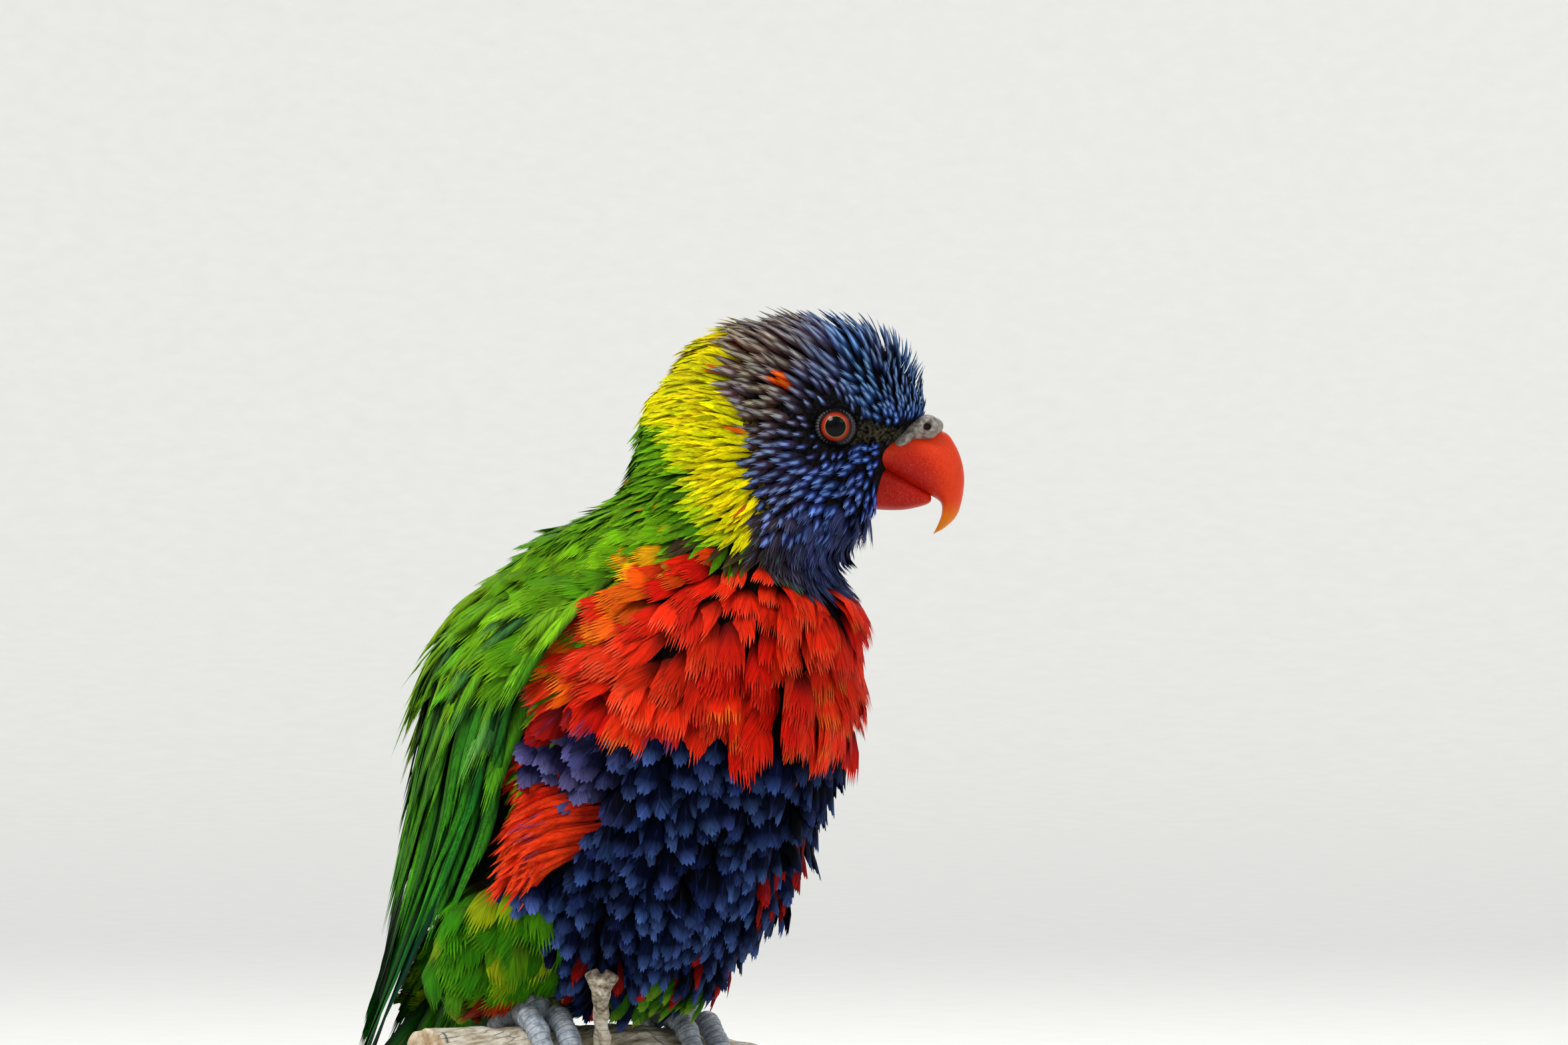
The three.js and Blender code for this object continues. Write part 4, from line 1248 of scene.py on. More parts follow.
class BellyTract(Tract):
    """Rounded blue-black feathers of the belly, each with a lighter tip that is partly its own blue edge
    and partly painted highlight.
    """

    def spacing(self, spots: Spots) -> Array:
        """Wider apart by the breast than by the vent."""
        gap = mix(1.8, 2.2, smooth(30, 50, spots.height))
        under_tuft = flank_clump(spots, 2.5) & (spots.round > 64)
        return np.where((zones(spots)["belly"] > 0.5) & ~under_tuft, gap, 0)

    def sizes(self, spots: Spots) -> tuple[Array, Array]:
        """Broader near the breast than by the vent, and broadest by the flank."""
        high, flank = smooth(16, 50, spots.height), smooth(48, 70, spots.round)
        return mix(8.5, 9.5, high), mix(3.2, mix(4.8, 6.6, flank), high)

    def lift(self, spots: Spots) -> Array:
        """In loose bundles."""
        return self.tip_lift * (1 + 0.5 * ripple(spots.points, 3, self.seed + 1))

    def tints(self, spots: Spots, rng: Rng) -> Tints:
        """Blue, violet by the flank, red low in front and green by the vent."""
        # The lighter tips are partly the feathers' own blue edges and partly painted highlight on the
        # glossy coat.
        light = patches(spots, rng, 4, 51, 0.42)
        web = mix(paint("#03050c"), paint("#0a1436"), light)
        tip = mix(paint("#121d48"), paint("#4f6db4"), light)
        violet = column(smooth(44, 54, spots.height) * smooth(46, 72, spots.round))
        web, tip = mix(web, paint("#241e44"), violet * 0.6), mix(tip, paint("#6a6298"), violet * 0.8)
        side = smooth(40, 16, np.abs(spots.turn - 26)) * smooth(46, 34, spots.height)
        red = some(rng, np.maximum(0.4 * side, 0.22 * smooth(20, 10, spots.height)))
        red = np.maximum(red, some(rng, 0.35 * smooth(60, 78, spots.round) * smooth(46, 54, spots.height)))
        web, tip = mix(web, paint("#740a08"), red), mix(tip, paint("#b01a10"), red)
        vent = some(rng, 0.6 * smooth(17, 8, spots.height) * smooth(75, 35, spots.round))
        web, tip = mix(web, paint("#2c6410"), vent), mix(tip, paint("#7ca41c"), vent)
        # The near-black root is partly the feathers' dark base and partly painted shade in the gaps between
        # them.
        return strayed(rng, spots.count, paint("#010103"), web, tip, paint("#33427c"), 0.15, 0.68)


class ThighTract(Tract):
    """Soft, broad, finely barbed feathers of the thighs, green and yellow over dark red."""

    def spacing(self, spots: Spots) -> Array:
        """Even over the thigh."""
        return np.where(zones(spots)["thigh"] > 0.5, 2.3, 0)

    def sizes(self, spots: Spots) -> tuple[Array, Array]:
        """Long and broad."""
        return np.full(spots.count, 12.5), np.full(spots.count, 7.0)

    def lift(self, spots: Spots) -> Array:
        """In soft lobes."""
        return self.tip_lift * (1 + 0.5 * ripple(spots.points, 5.5, 108))

    def tints(self, spots: Spots, rng: Rng) -> Tints:
        """Green with a few yellow patches and dark red bases."""
        gold = patches(spots, rng, 3.4, 41, -0.12)
        web = mix(paint("#2f7406"), paint("#c4b80a"), gold)
        tip = mix(paint("#55980e"), paint("#d4c812"), gold)
        red = some(rng, 0.9 * smooth(0.4, 0.9, ripple(spots.points, 4, 43)) * smooth(18, 8, spots.height))
        web, tip = mix(web, paint("#a82408"), red), mix(tip, paint("#c8600c"), red)
        return strayed(rng, spots.count, paint("#280a04"), web, tip)


class FlankTract(Tract):
    """The silky red tuft that spills out of the flank in front of each wing's edge."""

    def spacing(self, spots: Spots) -> Array:
        """A close clump behind the belly's side."""
        edge = np.hypot((spots.round - 85) / 8, (spots.height - 60) / 12) < 1
        return np.where(flank_clump(spots) | edge, 0.75, 0)

    def sizes(self, spots: Spots) -> tuple[Array, Array]:
        """Long and narrow, shorter over the tuft."""
        return mix(17.0, 10.0, smooth(46, 52, spots.height)), np.full(spots.count, 1.3)

    def lift(self, spots: Spots) -> Array:
        """Smoothly swelling."""
        return mix(self.tip_lift, 3.0, smooth(46, 52, spots.height)) + 0.5 * ripple(spots.points, 3, 44)

    def lie(self, spots: Spots) -> Array:
        """Backwards, then down."""
        fall = mix(1.2, 0.2, smooth(-18, -2, spots.ahead))
        return unit(np.stack([-np.ones(spots.count), np.zeros(spots.count), -fall], -1))

    def tints(self, spots: Spots, rng: Rng) -> Tints:
        """Bright red, with slate tips in front and some green over it."""
        web = mix(paint("#d01806"), paint("#f03c10"), patches(spots, rng, 5, 61))
        slate = some(rng, 0.45 * smooth(76, 62, spots.round))
        tip = mix(paint("#f04a20"), paint("#3c3a60"), slate)
        green = some(rng, 0.4 * smooth(48, 54, spots.height))
        web, tip = mix(web, paint("#4c7a10"), green), mix(tip, paint("#7ca41c"), green)
        return strayed(rng, spots.count, paint("#7a0a04"), web, tip)


def plumage() -> list[tuple[Tract, str]]:
    """Lists the fields of feathers over the skin, each with its kind of finish."""
    spear = VaneShape(strips=2, split=0.72, square=0.45, point=0.5, camber=0.16, thick=0.1, ragged=0.2)
    hair = VaneShape(strips=1, split=0.7, point=0.35, camber=0.1, thick=0.1, ragged=0.2, cleft=0)
    fringed = VaneShape(strips=6, split=0.62, square=0.7, camber=0.12, thick=0.1, ragged=0.4, cleft=0.8)
    soft = VaneShape(strips=10, rows=4, split=0.7, square=0.5, base=0.4, ragged=0.4, cleft=0.8)
    broad = VaneShape(strips=10, split=0.76, square=0.84, base=0.35, camber=0.08, ragged=0.5, cleft=0.9)
    leaf = VaneShape(
        strips=6, split=0.92, square=0.0, base=0.45, camber=0.26, ragged=0.6, cleft=0.15, rounded=True
    )
    head, body = Unwrap.HEAD, Unwrap.BODY
    return [
        (HeadTract("plumage_head", "plumage_head", spear, 101, head, -0.25, 1.6, 6, 8), "streaked"),
        (BeardTract("plumage_beard", "plumage_head", fringed, 102, head, -0.3, 2.2, 8, 10), "barbed"),
        (CollarTract("plumage_collar", "plumage_collar", hair, 103, head, -0.3, 2.4, 7, 12), "silky"),
        (NapeTract("plumage_nape", "plumage_collar", hair, 104, head, -0.3, 2.4, 9, 14), "silky"),
        (MantleTract("plumage_mantle", "plumage_wing", soft, 105), "barbed"),
        (BreastTract("plumage_breast", "plumage_breast", broad, 106, body, -0.4, 3.4, 8, 12), "barbed"),
        (BellyTract("plumage_belly", "plumage_belly", leaf, 107, body, -0.4, 3.3, 11, 14), "dusky"),
        (ThighTract("plumage_thigh", "plumage_thigh", soft, 108, body, -0.3, 3.4, 12, 14), "barbed"),
        (FlankTract("plumage_flank", "plumage_breast", hair, 109, body, 0.8, 4.6, 3, 7), "silky"),
    ]


# Wings and tail


@dataclass(frozen=True)
class Tier:
    """A row of long feathers on the wing, from its lower edge to its upper one."""

    count: int
    root: tuple[float, float, float, float]
    tip: tuple[float, float, float, float]
    width: float
    lift: tuple[float, float]
    stack: float
    stray: tuple[float, float]
    shape: VaneShape
    dark: str
    light: str


FLIGHT = VaneShape(strips=8, rows=8, split=0.9, square=0.4, point=0.4, base=0.7, camber=0.05, thick=0.35)
STRAND = VaneShape(
    strips=4, rows=8, split=0.7, square=0.1, point=0.45, base=0.5, camber=0.08, thick=0.25,
    ragged=0.7, cleft=0.95,
)
COVERT = VaneShape(
    strips=8, rows=5, split=0.74, square=0.35, point=0.2, base=0.5, camber=0.12, thick=0.2,
    ragged=0.5, cleft=0.9,
)
BLADE = VaneShape(
    strips=6, rows=7, split=0.8, square=0.2, point=0.55, base=0.5, camber=0.12, thick=0.2,
    ragged=0.5, cleft=0.8,
)


def side_name(side: int) -> str:
    """Names a side of the bird: left for 1 and right for -1."""
    return "left" if side > 0 else "right"


def row_bed(count: int, level: float, patch: tuple[float, float], margin: float = 0.06) -> FeatherBed:
    """Gives a row of long feathers their patches side by side on a flat unwrap."""
    places = np.stack([np.linspace(margin, 1 - margin, count), np.full(count, level)], -1)
    return FeatherBed(places, patch)


@dataclass
class Wing:
    """One folded wing, 1 for the left and -1 for the right."""

    side: int
    tiers: tuple[Tier, ...] = (
        Tier(8, (97, 130, 55, 53), (160, 170, -29, 2), 7.6, (1.2, 1.5), 0.55, (0.6, 1),
             FLIGHT, "#0a4a08", "#108010"),
        Tier(44, (97, 165, 60, 58), (111, 169, 13, 22), 2.7, (1.5, 3.2), 0.06, (2.2, 5),
             STRAND, "#0e3a02", "#54b40c"),
        Tier(34, (94, 165, 71, 67), (101, 169, 31, 36), 3.0, (1.6, 4.1), 0.04, (2.6, 6),
             STRAND, "#154604", "#58ac10"),
        Tier(18, (91, 162, 78, 77), (96, 168, 48, 48), 5.6, (-1.2, 4.7), 0.05, (2, 5),
             COVERT, "#2c6c08", "#5ea41c"),
        Tier(18, (89, 159, 85, 84), (92, 166, 60, 60), 5.2, (-1.2, 5.3), 0.05, (2.2, 5),
             COVERT, "#387a0a", "#72b020"),
        Tier(16, (87, 154, 88, 88), (90, 163, 71, 70), 5.0, (-1.6, 5.7), 0.05, (2.4, 4),
             COVERT, "#468808", "#88c01c"),
        Tier(14, (122, 160, 90, 86), (146, 172, 62, 46), 3.6, (-0.8, 7.4), 0.1, (4, 6),
             BLADE, "#4a8a06", "#a8d418"),
    )
    furthest_turn: float = 173
    roll: float = 6.0
    roll_stray: float = 7

    def quills(self, tier: Tier, rng: Rng) -> Quills:
        """Lays the middle lines of one tier on the wing's bed.

        Args:
            tier: Row of feathers.
            rng: Random numbers.

        Returns:
            The middle lines.
        """
        share, stages = np.linspace(0, 1, tier.count), tier.shape.stages[None]
        swing, reach = (rng.normal(0, size, (2, tier.count)) for size in tier.stray)
        root_turn = mix(*tier.root[:2], share) + swing[0] * 0.5
        root_height = mix(*tier.root[2:], share) + reach[0] * 0.5
        tip_turn = np.minimum(mix(*tier.tip[:2], share) + swing[1], self.furthest_turn)
        tip_height = mix(*tier.tip[2:], share) + reach[1]
        turn = mix(column(root_turn), column(tip_turn), stages)
        height = mix(column(root_height), column(tip_height), stages)
        turn = turn + column(rng.normal(0, tier.stray[0] * 0.5, tier.count)) * np.sin(math.pi * stages)
        flip = np.array([1, self.side, 1])
        points = WING_BED.points(height, turn) * flip
        round_way = (WING_BED.points(height, turn + 1) - WING_BED.points(height, turn - 1)) * flip
        along = unit(np.gradient(points, axis=1))
        normals = unit(np.cross(along, round_way))
        normals *= np.sign(dot(normals, np.array([-0.3, self.side, 0.0])))[..., None]
        sides = unit(round_way - along * column(dot(round_way, along))) * self.side
        loose = 1.6 if tier.shape is BLADE else 0.5
        layer = tier.lift[1] + tier.stack * np.arange(tier.count) + rng.uniform(-loose, loose, tier.count)
        points = points + normals * mix(tier.lift[0], column(layer), stages)[..., None]
        lengths = np.linalg.norm(np.diff(points, axis=1), axis=-1).sum(1)
        widths = tier.width * rng.uniform(0.82, 1.15, tier.count)
        quills = Quills(points, normals, sides, lengths, widths)
        return quills.rolled(self.roll * self.side + rng.normal(0, self.roll_stray, tier.count))

    def tier_tints(self, tier: Tier, rng: Rng) -> Tints:
        """Greens from dark to light, teal by the wing's lower edge and olive brown by its upper one."""
        share = np.linspace(0, 1, tier.count)
        light = column(np.clip(rng.normal(0.45, 0.3, tier.count), 0, 1))
        web = mix(paint(tier.dark), paint(tier.light), light)
        if tier.shape is FLIGHT:
            web = mix(web, paint("#0a5a50"), column(smooth(0.2, 0.0, share)) * 0.6)
        elif tier.shape is STRAND:
            web = mix(web, paint("#0c7822"), column(smooth(0.5, 0.0, share)) * 0.6)
        else:
            web = mix(web, paint("#3a7a4a"), some(rng, np.full(tier.count, 0.25)) * 0.6)
        web = mix(web, paint("#4c4414"), column(smooth(0.9, 1.0, share)) * 0.8)
        tip = mix(web, paint(tier.light), 0.5)
        # The root, a fifth of the web's colour, is partly the feathers' dark base and partly painted shade
        # between them.
        return strayed(rng, tier.count, web * 0.2, web, tip, paint("#142004"), 0.5, 0.6)

    def build(self) -> Piece:
        """Makes the wing from its tiers."""
        name = side_name(self.side)
        pieces = []
        for k, tier in enumerate(self.tiers):
            rng = np.random.default_rng(200 + k + 10 * self.side)
            bed = row_bed(tier.count, 0.1 + 0.13 * k, (0.03, 0.11), 0.04)
            tints, quills = self.tier_tints(tier, rng), self.quills(tier, rng)
            pieces.append(feather_mesh(f"wing_{k}", tier.shape, quills, tints, bed, 300 + k))
        wing = joined(f"feathers_wing_{name}", pieces)
        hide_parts(f"wing_{name}")
        return fit(wing, "plumage_wing")


@dataclass
class Tail:
    """Graduated tail feathers with coverts over and under their roots."""

    root: tuple[float, float, float] = (-38, 0, 16)
    length: float = 122
    width: float = 9.5
    pairs: int = 4
    step: float = 0.95
    shorter: float = 17
    spread: float = 3.1
    coverts: tuple[tuple[float, float, float], ...] = (
        (0, 46, 2.4), (5.5, 38, 1.5), (-5.5, 38, 1.5), (2.6, 30, 3.0), (-2.8, 28, 3.1),
        (0, 48, -5.0), (5, 40, -4.1), (-5, 40, -4.1), (2.5, 30, -5.6), (-2.5, 30, -5.6),
    )

    def quills(self, rows: list[tuple[float, ...]], shape: VaneShape) -> Quills:
        """Lays middle lines from rows of start, length, fan, back and width."""
        start, length, fan, back, width = (np.array(values, float) for values in zip(*rows))
        along = column(start) + column(length) * shape.stages[None]
        left = column(fan) * smooth(0, 0.62, shape.stages[None])
        points = np.array(self.root) + PERCH_TOP * UP + column(along) * TAIL_ALONG
        raised = column(back) - 0.12 * np.abs(left)
        points = points + column(left) * np.array([0, 1, 0]) + column(raised) * TAIL_BACK
        normals = np.broadcast_to(TAIL_BACK, points.shape).copy()
        sides = unit(np.cross(unit(np.gradient(points, axis=1)), normals))
        return Quills(points, normals, sides, length, width)

    def build(self) -> Piece:
        """Makes the tail from its feathers and coverts."""
        rng = np.random.default_rng(401)
        rows = [(0, self.length, 0, 0.6, self.width)]
        for pair in range(1, self.pairs + 1):
            fan, back = 2 + self.spread * pair, 0.6 - self.step * pair
            length = self.length - self.shorter * pair
            rows += [(0, length, side * fan, back, self.width) for side in (-1, 1)]
        short = [(-6, length, fan, back, 9.0) for fan, length, back in self.coverts]
        plume = VaneShape(
            strips=8, rows=10, split=0.93, square=0.4, point=0.45, base=0.7, camber=0.05, thick=0.4,
            cleft=0.6,
        )
        dark = ("#062206", "#125a14", "#387210", "#8a7240")
        light = ("#0c2a04", "#2f7410", "#559020", "#1c3a08")
        layers = (
            ("tail_long", plume, rows, dark, 0.7, 0.3, 0.5, 402),
            ("tail_coverts", COVERT, short, light, 0.4, 0.75, 0.2, 403),
        )
        pieces = []
        for name, shape, lines, codes, strength, level, reach, seed in layers:
            tints = strayed(rng, len(lines), *map(paint, codes), strength)
            bed = row_bed(len(lines), level, (0.07, reach))
            pieces.append(feather_mesh(name, shape, self.quills(lines, shape), tints, bed, seed))
        tail = joined("feathers_tail", pieces)
        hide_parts("tail")
        return fit(tail, "plumage_tail")


# Bill, cere and eyes


@dataclass
class Bill:
    """The hooked upper bill over the short lower one, whose rim sits inside the upper one's edge."""

    culmen: tuple = (
        (51, 117), (60, 118.6), (66.8, 118.2), (69.4, 115.4), (70.9, 111.3), (71.1, 107), (69.9, 101.9),
        (67.4, 99.1), (65.2, 97.9),
    )
    tomium: tuple = (
        (51, 112.2), (55.6, 110.2), (59, 108), (62.5, 106.2), (65, 105.2), (66.6, 103.9), (66.7, 101.8),
        (65.9, 99.6), (64.8, 97.6),
    )
    gonys: tuple = ((51, 103), (55, 102.6), (59, 102.6), (62.2, 103.2), (64.8, 104))
    gape: tuple = ((51, 113.6), (55.4, 112.0), (58.8, 110.0), (61.7, 107.9), (64.6, 106))
    upper_half: float = 6.3
    tip_half: float = 0.35
    lower_half: float = 5.3
    ridge: float = 0.28

    def half(self, name: str, upper: tuple, lower: tuple, width: Callable, ridge: float) -> Piece:
        """Makes one half of the bill.

        Args:
            name: Name of the piece.
            upper: Upper side profile.
            lower: Lower side profile.
            width: Gives the half width for a share along the profiles.
            ridge: How much narrower the upper side is.

        Returns:
            The new piece.
        """

        def place(degrees: Array, share: Array) -> Array:
            """Puts a section between the profiles, rounded above and square below."""
            turn = np.radians(degrees)
            cap = np.sqrt(np.clip(1 - (2 * np.abs(share - 0.5)) ** 18, 0, 1))
            high, low = curve_points(upper, share), curve_points(lower, share)
            rise = np.cos(turn)
            square = np.sign(np.sin(turn)) * np.sqrt(np.clip(1 - np.abs(rise) ** 3.5, 0, 1))
            across = np.where(rise > 0, np.sin(turn), square)
            middle = (high + low) / 2 + (high - low) / 2 * column(rise * cap)
            left = across * cap * width(share) * (1 - ridge * np.clip(rise, 0, None))
            return head_point(middle[:, 0], left, middle[:, 1])

        return moulded(name, 64, 72, place)

    def build(self) -> None:
        """Makes both halves and dresses them as horn."""
        upper_width = lambda t: self.upper_half * (1 - t**2.2) + self.tip_half
        lower_width = lambda t: self.lower_half * (1 - 0.45 * t**2)
        upper = self.half("bill_upper_horn", self.culmen, self.tomium, upper_width, self.ridge)
        lower = self.half("bill_lower_horn", self.gape, self.gonys, lower_width, 0.0)
        for piece, node in ((upper, "bill_upper"), (lower, "bill_lower")):
            piece.data.materials.append(HornFinish(node).material())
            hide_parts(node)
            fit(piece, "bill")


def egg(name: str, centre: Array, radii: tuple[float, float, float], tilt: float = 0) -> Piece:
    """Makes an egg in the head's directions.

    Args:
        name: Name of the piece.
        centre: Its middle.
        radii: Radii ahead, aside and up.
        tilt: Degrees that its front end is raised.

    Returns:
        The new piece.
    """
    cos, sin = math.cos(math.radians(tilt)), math.sin(math.radians(tilt))

    def place(degrees: Array, share: Array) -> Array:
        """Scales and tilts a ball."""
        points = ball(degrees, share) * radii
        ahead, rise = points[:, 0] * cos - points[:, 2] * sin, points[:, 0] * sin + points[:, 2] * cos
        return centre + column(ahead) * AHEAD + column(points[:, 1]) * HEAD_LEFT + column(rise) * UP

    return moulded(name, 32, 20, place)


@dataclass
class Cere:
    """The grey fleshy roll over the bill, with a nostril on each side."""

    roll: tuple[float, float, float] = (4.8, 5.8, 2.6)
    roll_at: tuple[float, float] = (62.4, 118.4)
    flange: tuple[float, float, float] = (3.4, 6.6, 1.9)
    flange_at: tuple[float, float] = (58.9, 116.2)
    swelling: float = 2.5
    swelling_side: float = 3.5
    nostril: tuple[float, float] = (63.8, 119.0)
    nostril_radius: float = 0.85

    def build(self) -> None:
        """Makes the cere with its nostrils."""
        pieces = [
            egg("roll", head_point(self.roll_at[0], 0.0, self.roll_at[1]), self.roll, 14),
            egg("flange", head_point(self.flange_at[0], 0.0, self.flange_at[1]), self.flange, 38),
        ]
        for side in (1, -1):
            centre = head_point(self.nostril[0], side * self.swelling_side, self.nostril[1])
            pieces.append(egg("swelling", centre, (self.swelling,) * 3))
        cere = fused("cere_flesh", pieces, 0.28, 5)
        ahead, left, height = head_coords(coordinates(cere))
        away = np.hypot(ahead - self.nostril[0], height - self.nostril[1])
        hole = smooth(self.nostril_radius * 1.15, self.nostril_radius * 0.5, away)
        rim = np.exp(-(((away - 1.5) / 0.45) ** 2)) * 0.3
        left = left + np.sign(left) * (rim - 1.3 * hole) * smooth(2.5, 4.0, np.abs(left))
        set_coordinates(cere, head_point(ahead, left, height))
        cere.data.materials.append(CereFinish("cere_skin").material())
        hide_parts("cere")
        fit(cere, "cere")


@dataclass
class Eye:
    """One eye with the beaded ring of its lids, 1 for the left and -1 for the right."""

    side: int
    ring: float = 3.3
    ring_thick: float = 0.46
    beads: int = 34
    lid_side: float = 14.55
    cornea: float = 0.35

    def globe(self) -> Piece:
        """Makes the eyeball with its pole outwards and a bulging cornea."""

        def place(degrees: Array, share: Array) -> Array:
            """Turns and swells a ball."""
            points = ball(degrees, share) * EYE_GLOBE
            points[:, 2] += self.cornea * smooth(0.75, 0.95, share)
            centre = head_point(EYE_AHEAD, self.side * EYE_SIDE, EYE_HEIGHT)
            flat = column(points[:, 0]) * AHEAD + column(points[:, 1]) * UP
            return centre + flat + column(points[:, 2] * self.side) * HEAD_LEFT

        return moulded("globe", 48, 40, place)

    def lids(self) -> Piece:
        """Makes the ring of the lids with its row of beads."""

        def place(degrees: Array, share: Array) -> Array:
            """Bends a beaded tube into a flat ring."""
            turn, around = 2 * math.pi * share, np.radians(degrees)
            bead = self.ring_thick * (1 + 0.2 * np.cos(turn * self.beads))
            reach = self.ring + np.cos(around) * bead
            out = self.lid_side + np.sin(around) * bead * 0.8 - 0.5 * (reach - self.ring)
            flat = column(np.cos(turn) * reach * 1.05) * AHEAD + column(np.sin(turn) * reach * 0.95) * UP
            return head_point(EYE_AHEAD, 0.0, EYE_HEIGHT) + flat + column(self.side * out) * HEAD_LEFT

        return ring_piece("lids", 14, self.beads * 8, place)

    def build(self) -> None:
        """Makes the eye and its lids."""
        name = side_name(self.side)
        globe, lids = self.globe(), self.lids()
        globe.name, lids.name = f"eye_{name}_globe", f"eye_{name}_lids"
        globe.data.materials.append(EyeFinish(f"iris_{name}").material())
        lids.data.materials.append(LidFinish(f"lid_skin_{name}").material())
        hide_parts(f"eye_{name}")
        fit(globe, "eye")
        fit(lids, "cere")


# Branch, feet and claws

PERCH_YAW = math.radians(20)
PERCH_AXIS = np.array([math.sin(PERCH_YAW), math.cos(PERCH_YAW), 0.0])
PERCH_FRONT = np.array([math.cos(PERCH_YAW), -math.sin(PERCH_YAW), 0.0])
PERCH_RADIUS = 9.5


def round_perch(along: Array, degrees: Array, distance: Array) -> Array:
    """Finds points round the branch.

    Args:
        along: Distance along the branch.
        degrees: Angle ahead of its upper side.
        distance: Distance from its middle line.

    Returns:
        Points in millimetres.
    """
    given = (np.asarray(values, float) for values in (along, degrees, distance))
    along, degrees, distance = np.broadcast_arrays(*given)
    droop = np.where(along > 0, 0.22 * (np.hypot(along, 16) - 16), 0)
    turn = np.radians(degrees)
    height = PERCH_TOP - PERCH_RADIUS - droop + distance * np.cos(turn)
    ahead = column(distance * np.sin(turn)) * PERCH_FRONT
    return column(along) * PERCH_AXIS + ahead + column(height) * UP


@dataclass
class Branch:
    """A short cut length of branch with bark, knots, cracks and a dead twig stub."""

    near: float = -41
    far: float = 47
    knots: tuple = ((-33, 200, 0.16), (9, 20, 0.1), (30, 140, 0.18))
    stub: tuple = ((0, 0, 0), (4, -4.8, 5), (9, -10.7, 11.5), (10.3, -12.3, 14.4))
    fork: tuple = (9.9, -11.8, 12.6)
    arms: tuple = ((8.6, -13.6, 17.0), (12.2, -10.6, 16.6))

    def swell(self, along: Array, degrees: Array) -> Array:
        """Gives the bark's radius over the plain one."""
        total = 1 + 0.025 * np.sin(along * 0.31 + degrees * 0.035)
        total = total + 0.02 * np.sin(along * 0.83 - degrees * 0.07)
        for at, towards, size in self.knots:
            turn = (degrees - towards + 540) % 360 - 180
            total = total + size * np.exp(-(((along - at) / 6) ** 2) - (turn / 60) ** 2)
        gripped = (np.abs(degrees) >= 60) & (np.abs(degrees) <= 130)
        return np.where(gripped, total, np.minimum(total, 1))

    def bark(self) -> Piece:
        """Makes the branch's length, with flat cut ends."""
        rim = 0.06

        def place(degrees: Array, share: Array) -> Array:
            """Wraps cracked bark round the branch's line."""
            inner = np.clip((share - rim) / (1 - 2 * rim), 0, 1)
            ring = np.clip(np.minimum(share, 1 - share) / rim, 0, 1)
            along, turn = mix(self.near, self.far, inner), np.radians(degrees)
            chips = 0.6 * np.sin(turn * 3) * (np.abs(inner - 0.5) > 0.48) * ring
            lengthwise = np.stack([along * 0.35, np.cos(turn) * 9, np.sin(turn) * 9], -1)
            furrow = np.sin(turn * 9 + 1.5 * np.sin(along * 0.22)) * np.cos(along * 0.09) ** 2
            relief = 0.02 * ripple(lengthwise, 1.6, 77) - 0.04 * smooth(0.75, 1.0, furrow)
            radius = PERCH_RADIUS * (1 - 0.06 * inner) * (self.swell(along, degrees) + relief)
            return round_perch(along + chips, degrees, ring * radius)

        return moulded("bark", 128, 200, place)

    def twig(self) -> list[Piece]:
        """Makes the stub's stem and the two broken arms at its end."""
        foot = round_perch(-5, 60, PERCH_RADIUS - 1)

        def girth(degrees: Array, share: Array) -> Array:
            """Knobbles the stem."""
            turn = np.radians(degrees)
            knobbles = 0.2 * np.sin(share * 19 + turn * 2) + 0.14 * np.cos(turn * 5 + share * 9)
            return 1.9 - 0.45 * np.sin(math.pi * share) + knobbles

        def splinter(degrees: Array, share: Array) -> Array:
            """Flattens and ridges a broken arm."""
            turn = np.radians(degrees)
            return 1.35 + 0.2 * np.cos(2 * turn) + smooth(0.3, 1, share) * 0.25 * np.sin(5 * turn + 2)

        pieces = [tube("stem", foot + np.array(self.stub), girth, 28, 50)]
        for end in self.arms:
            pieces.append(tube("arm", foot + np.array((self.fork, end)), splinter, 28, 30))
        return pieces

    def build(self) -> None:
        """Makes the branch and its stub."""
        stub = fused("stub", self.twig(), 0.32, 1)
        branch = joined("branch_bark", [self.bark(), stub])
        branch.data.materials.append(BarkFinish("bark_skin").material())
        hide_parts("perch")
        fit(branch, "bark")


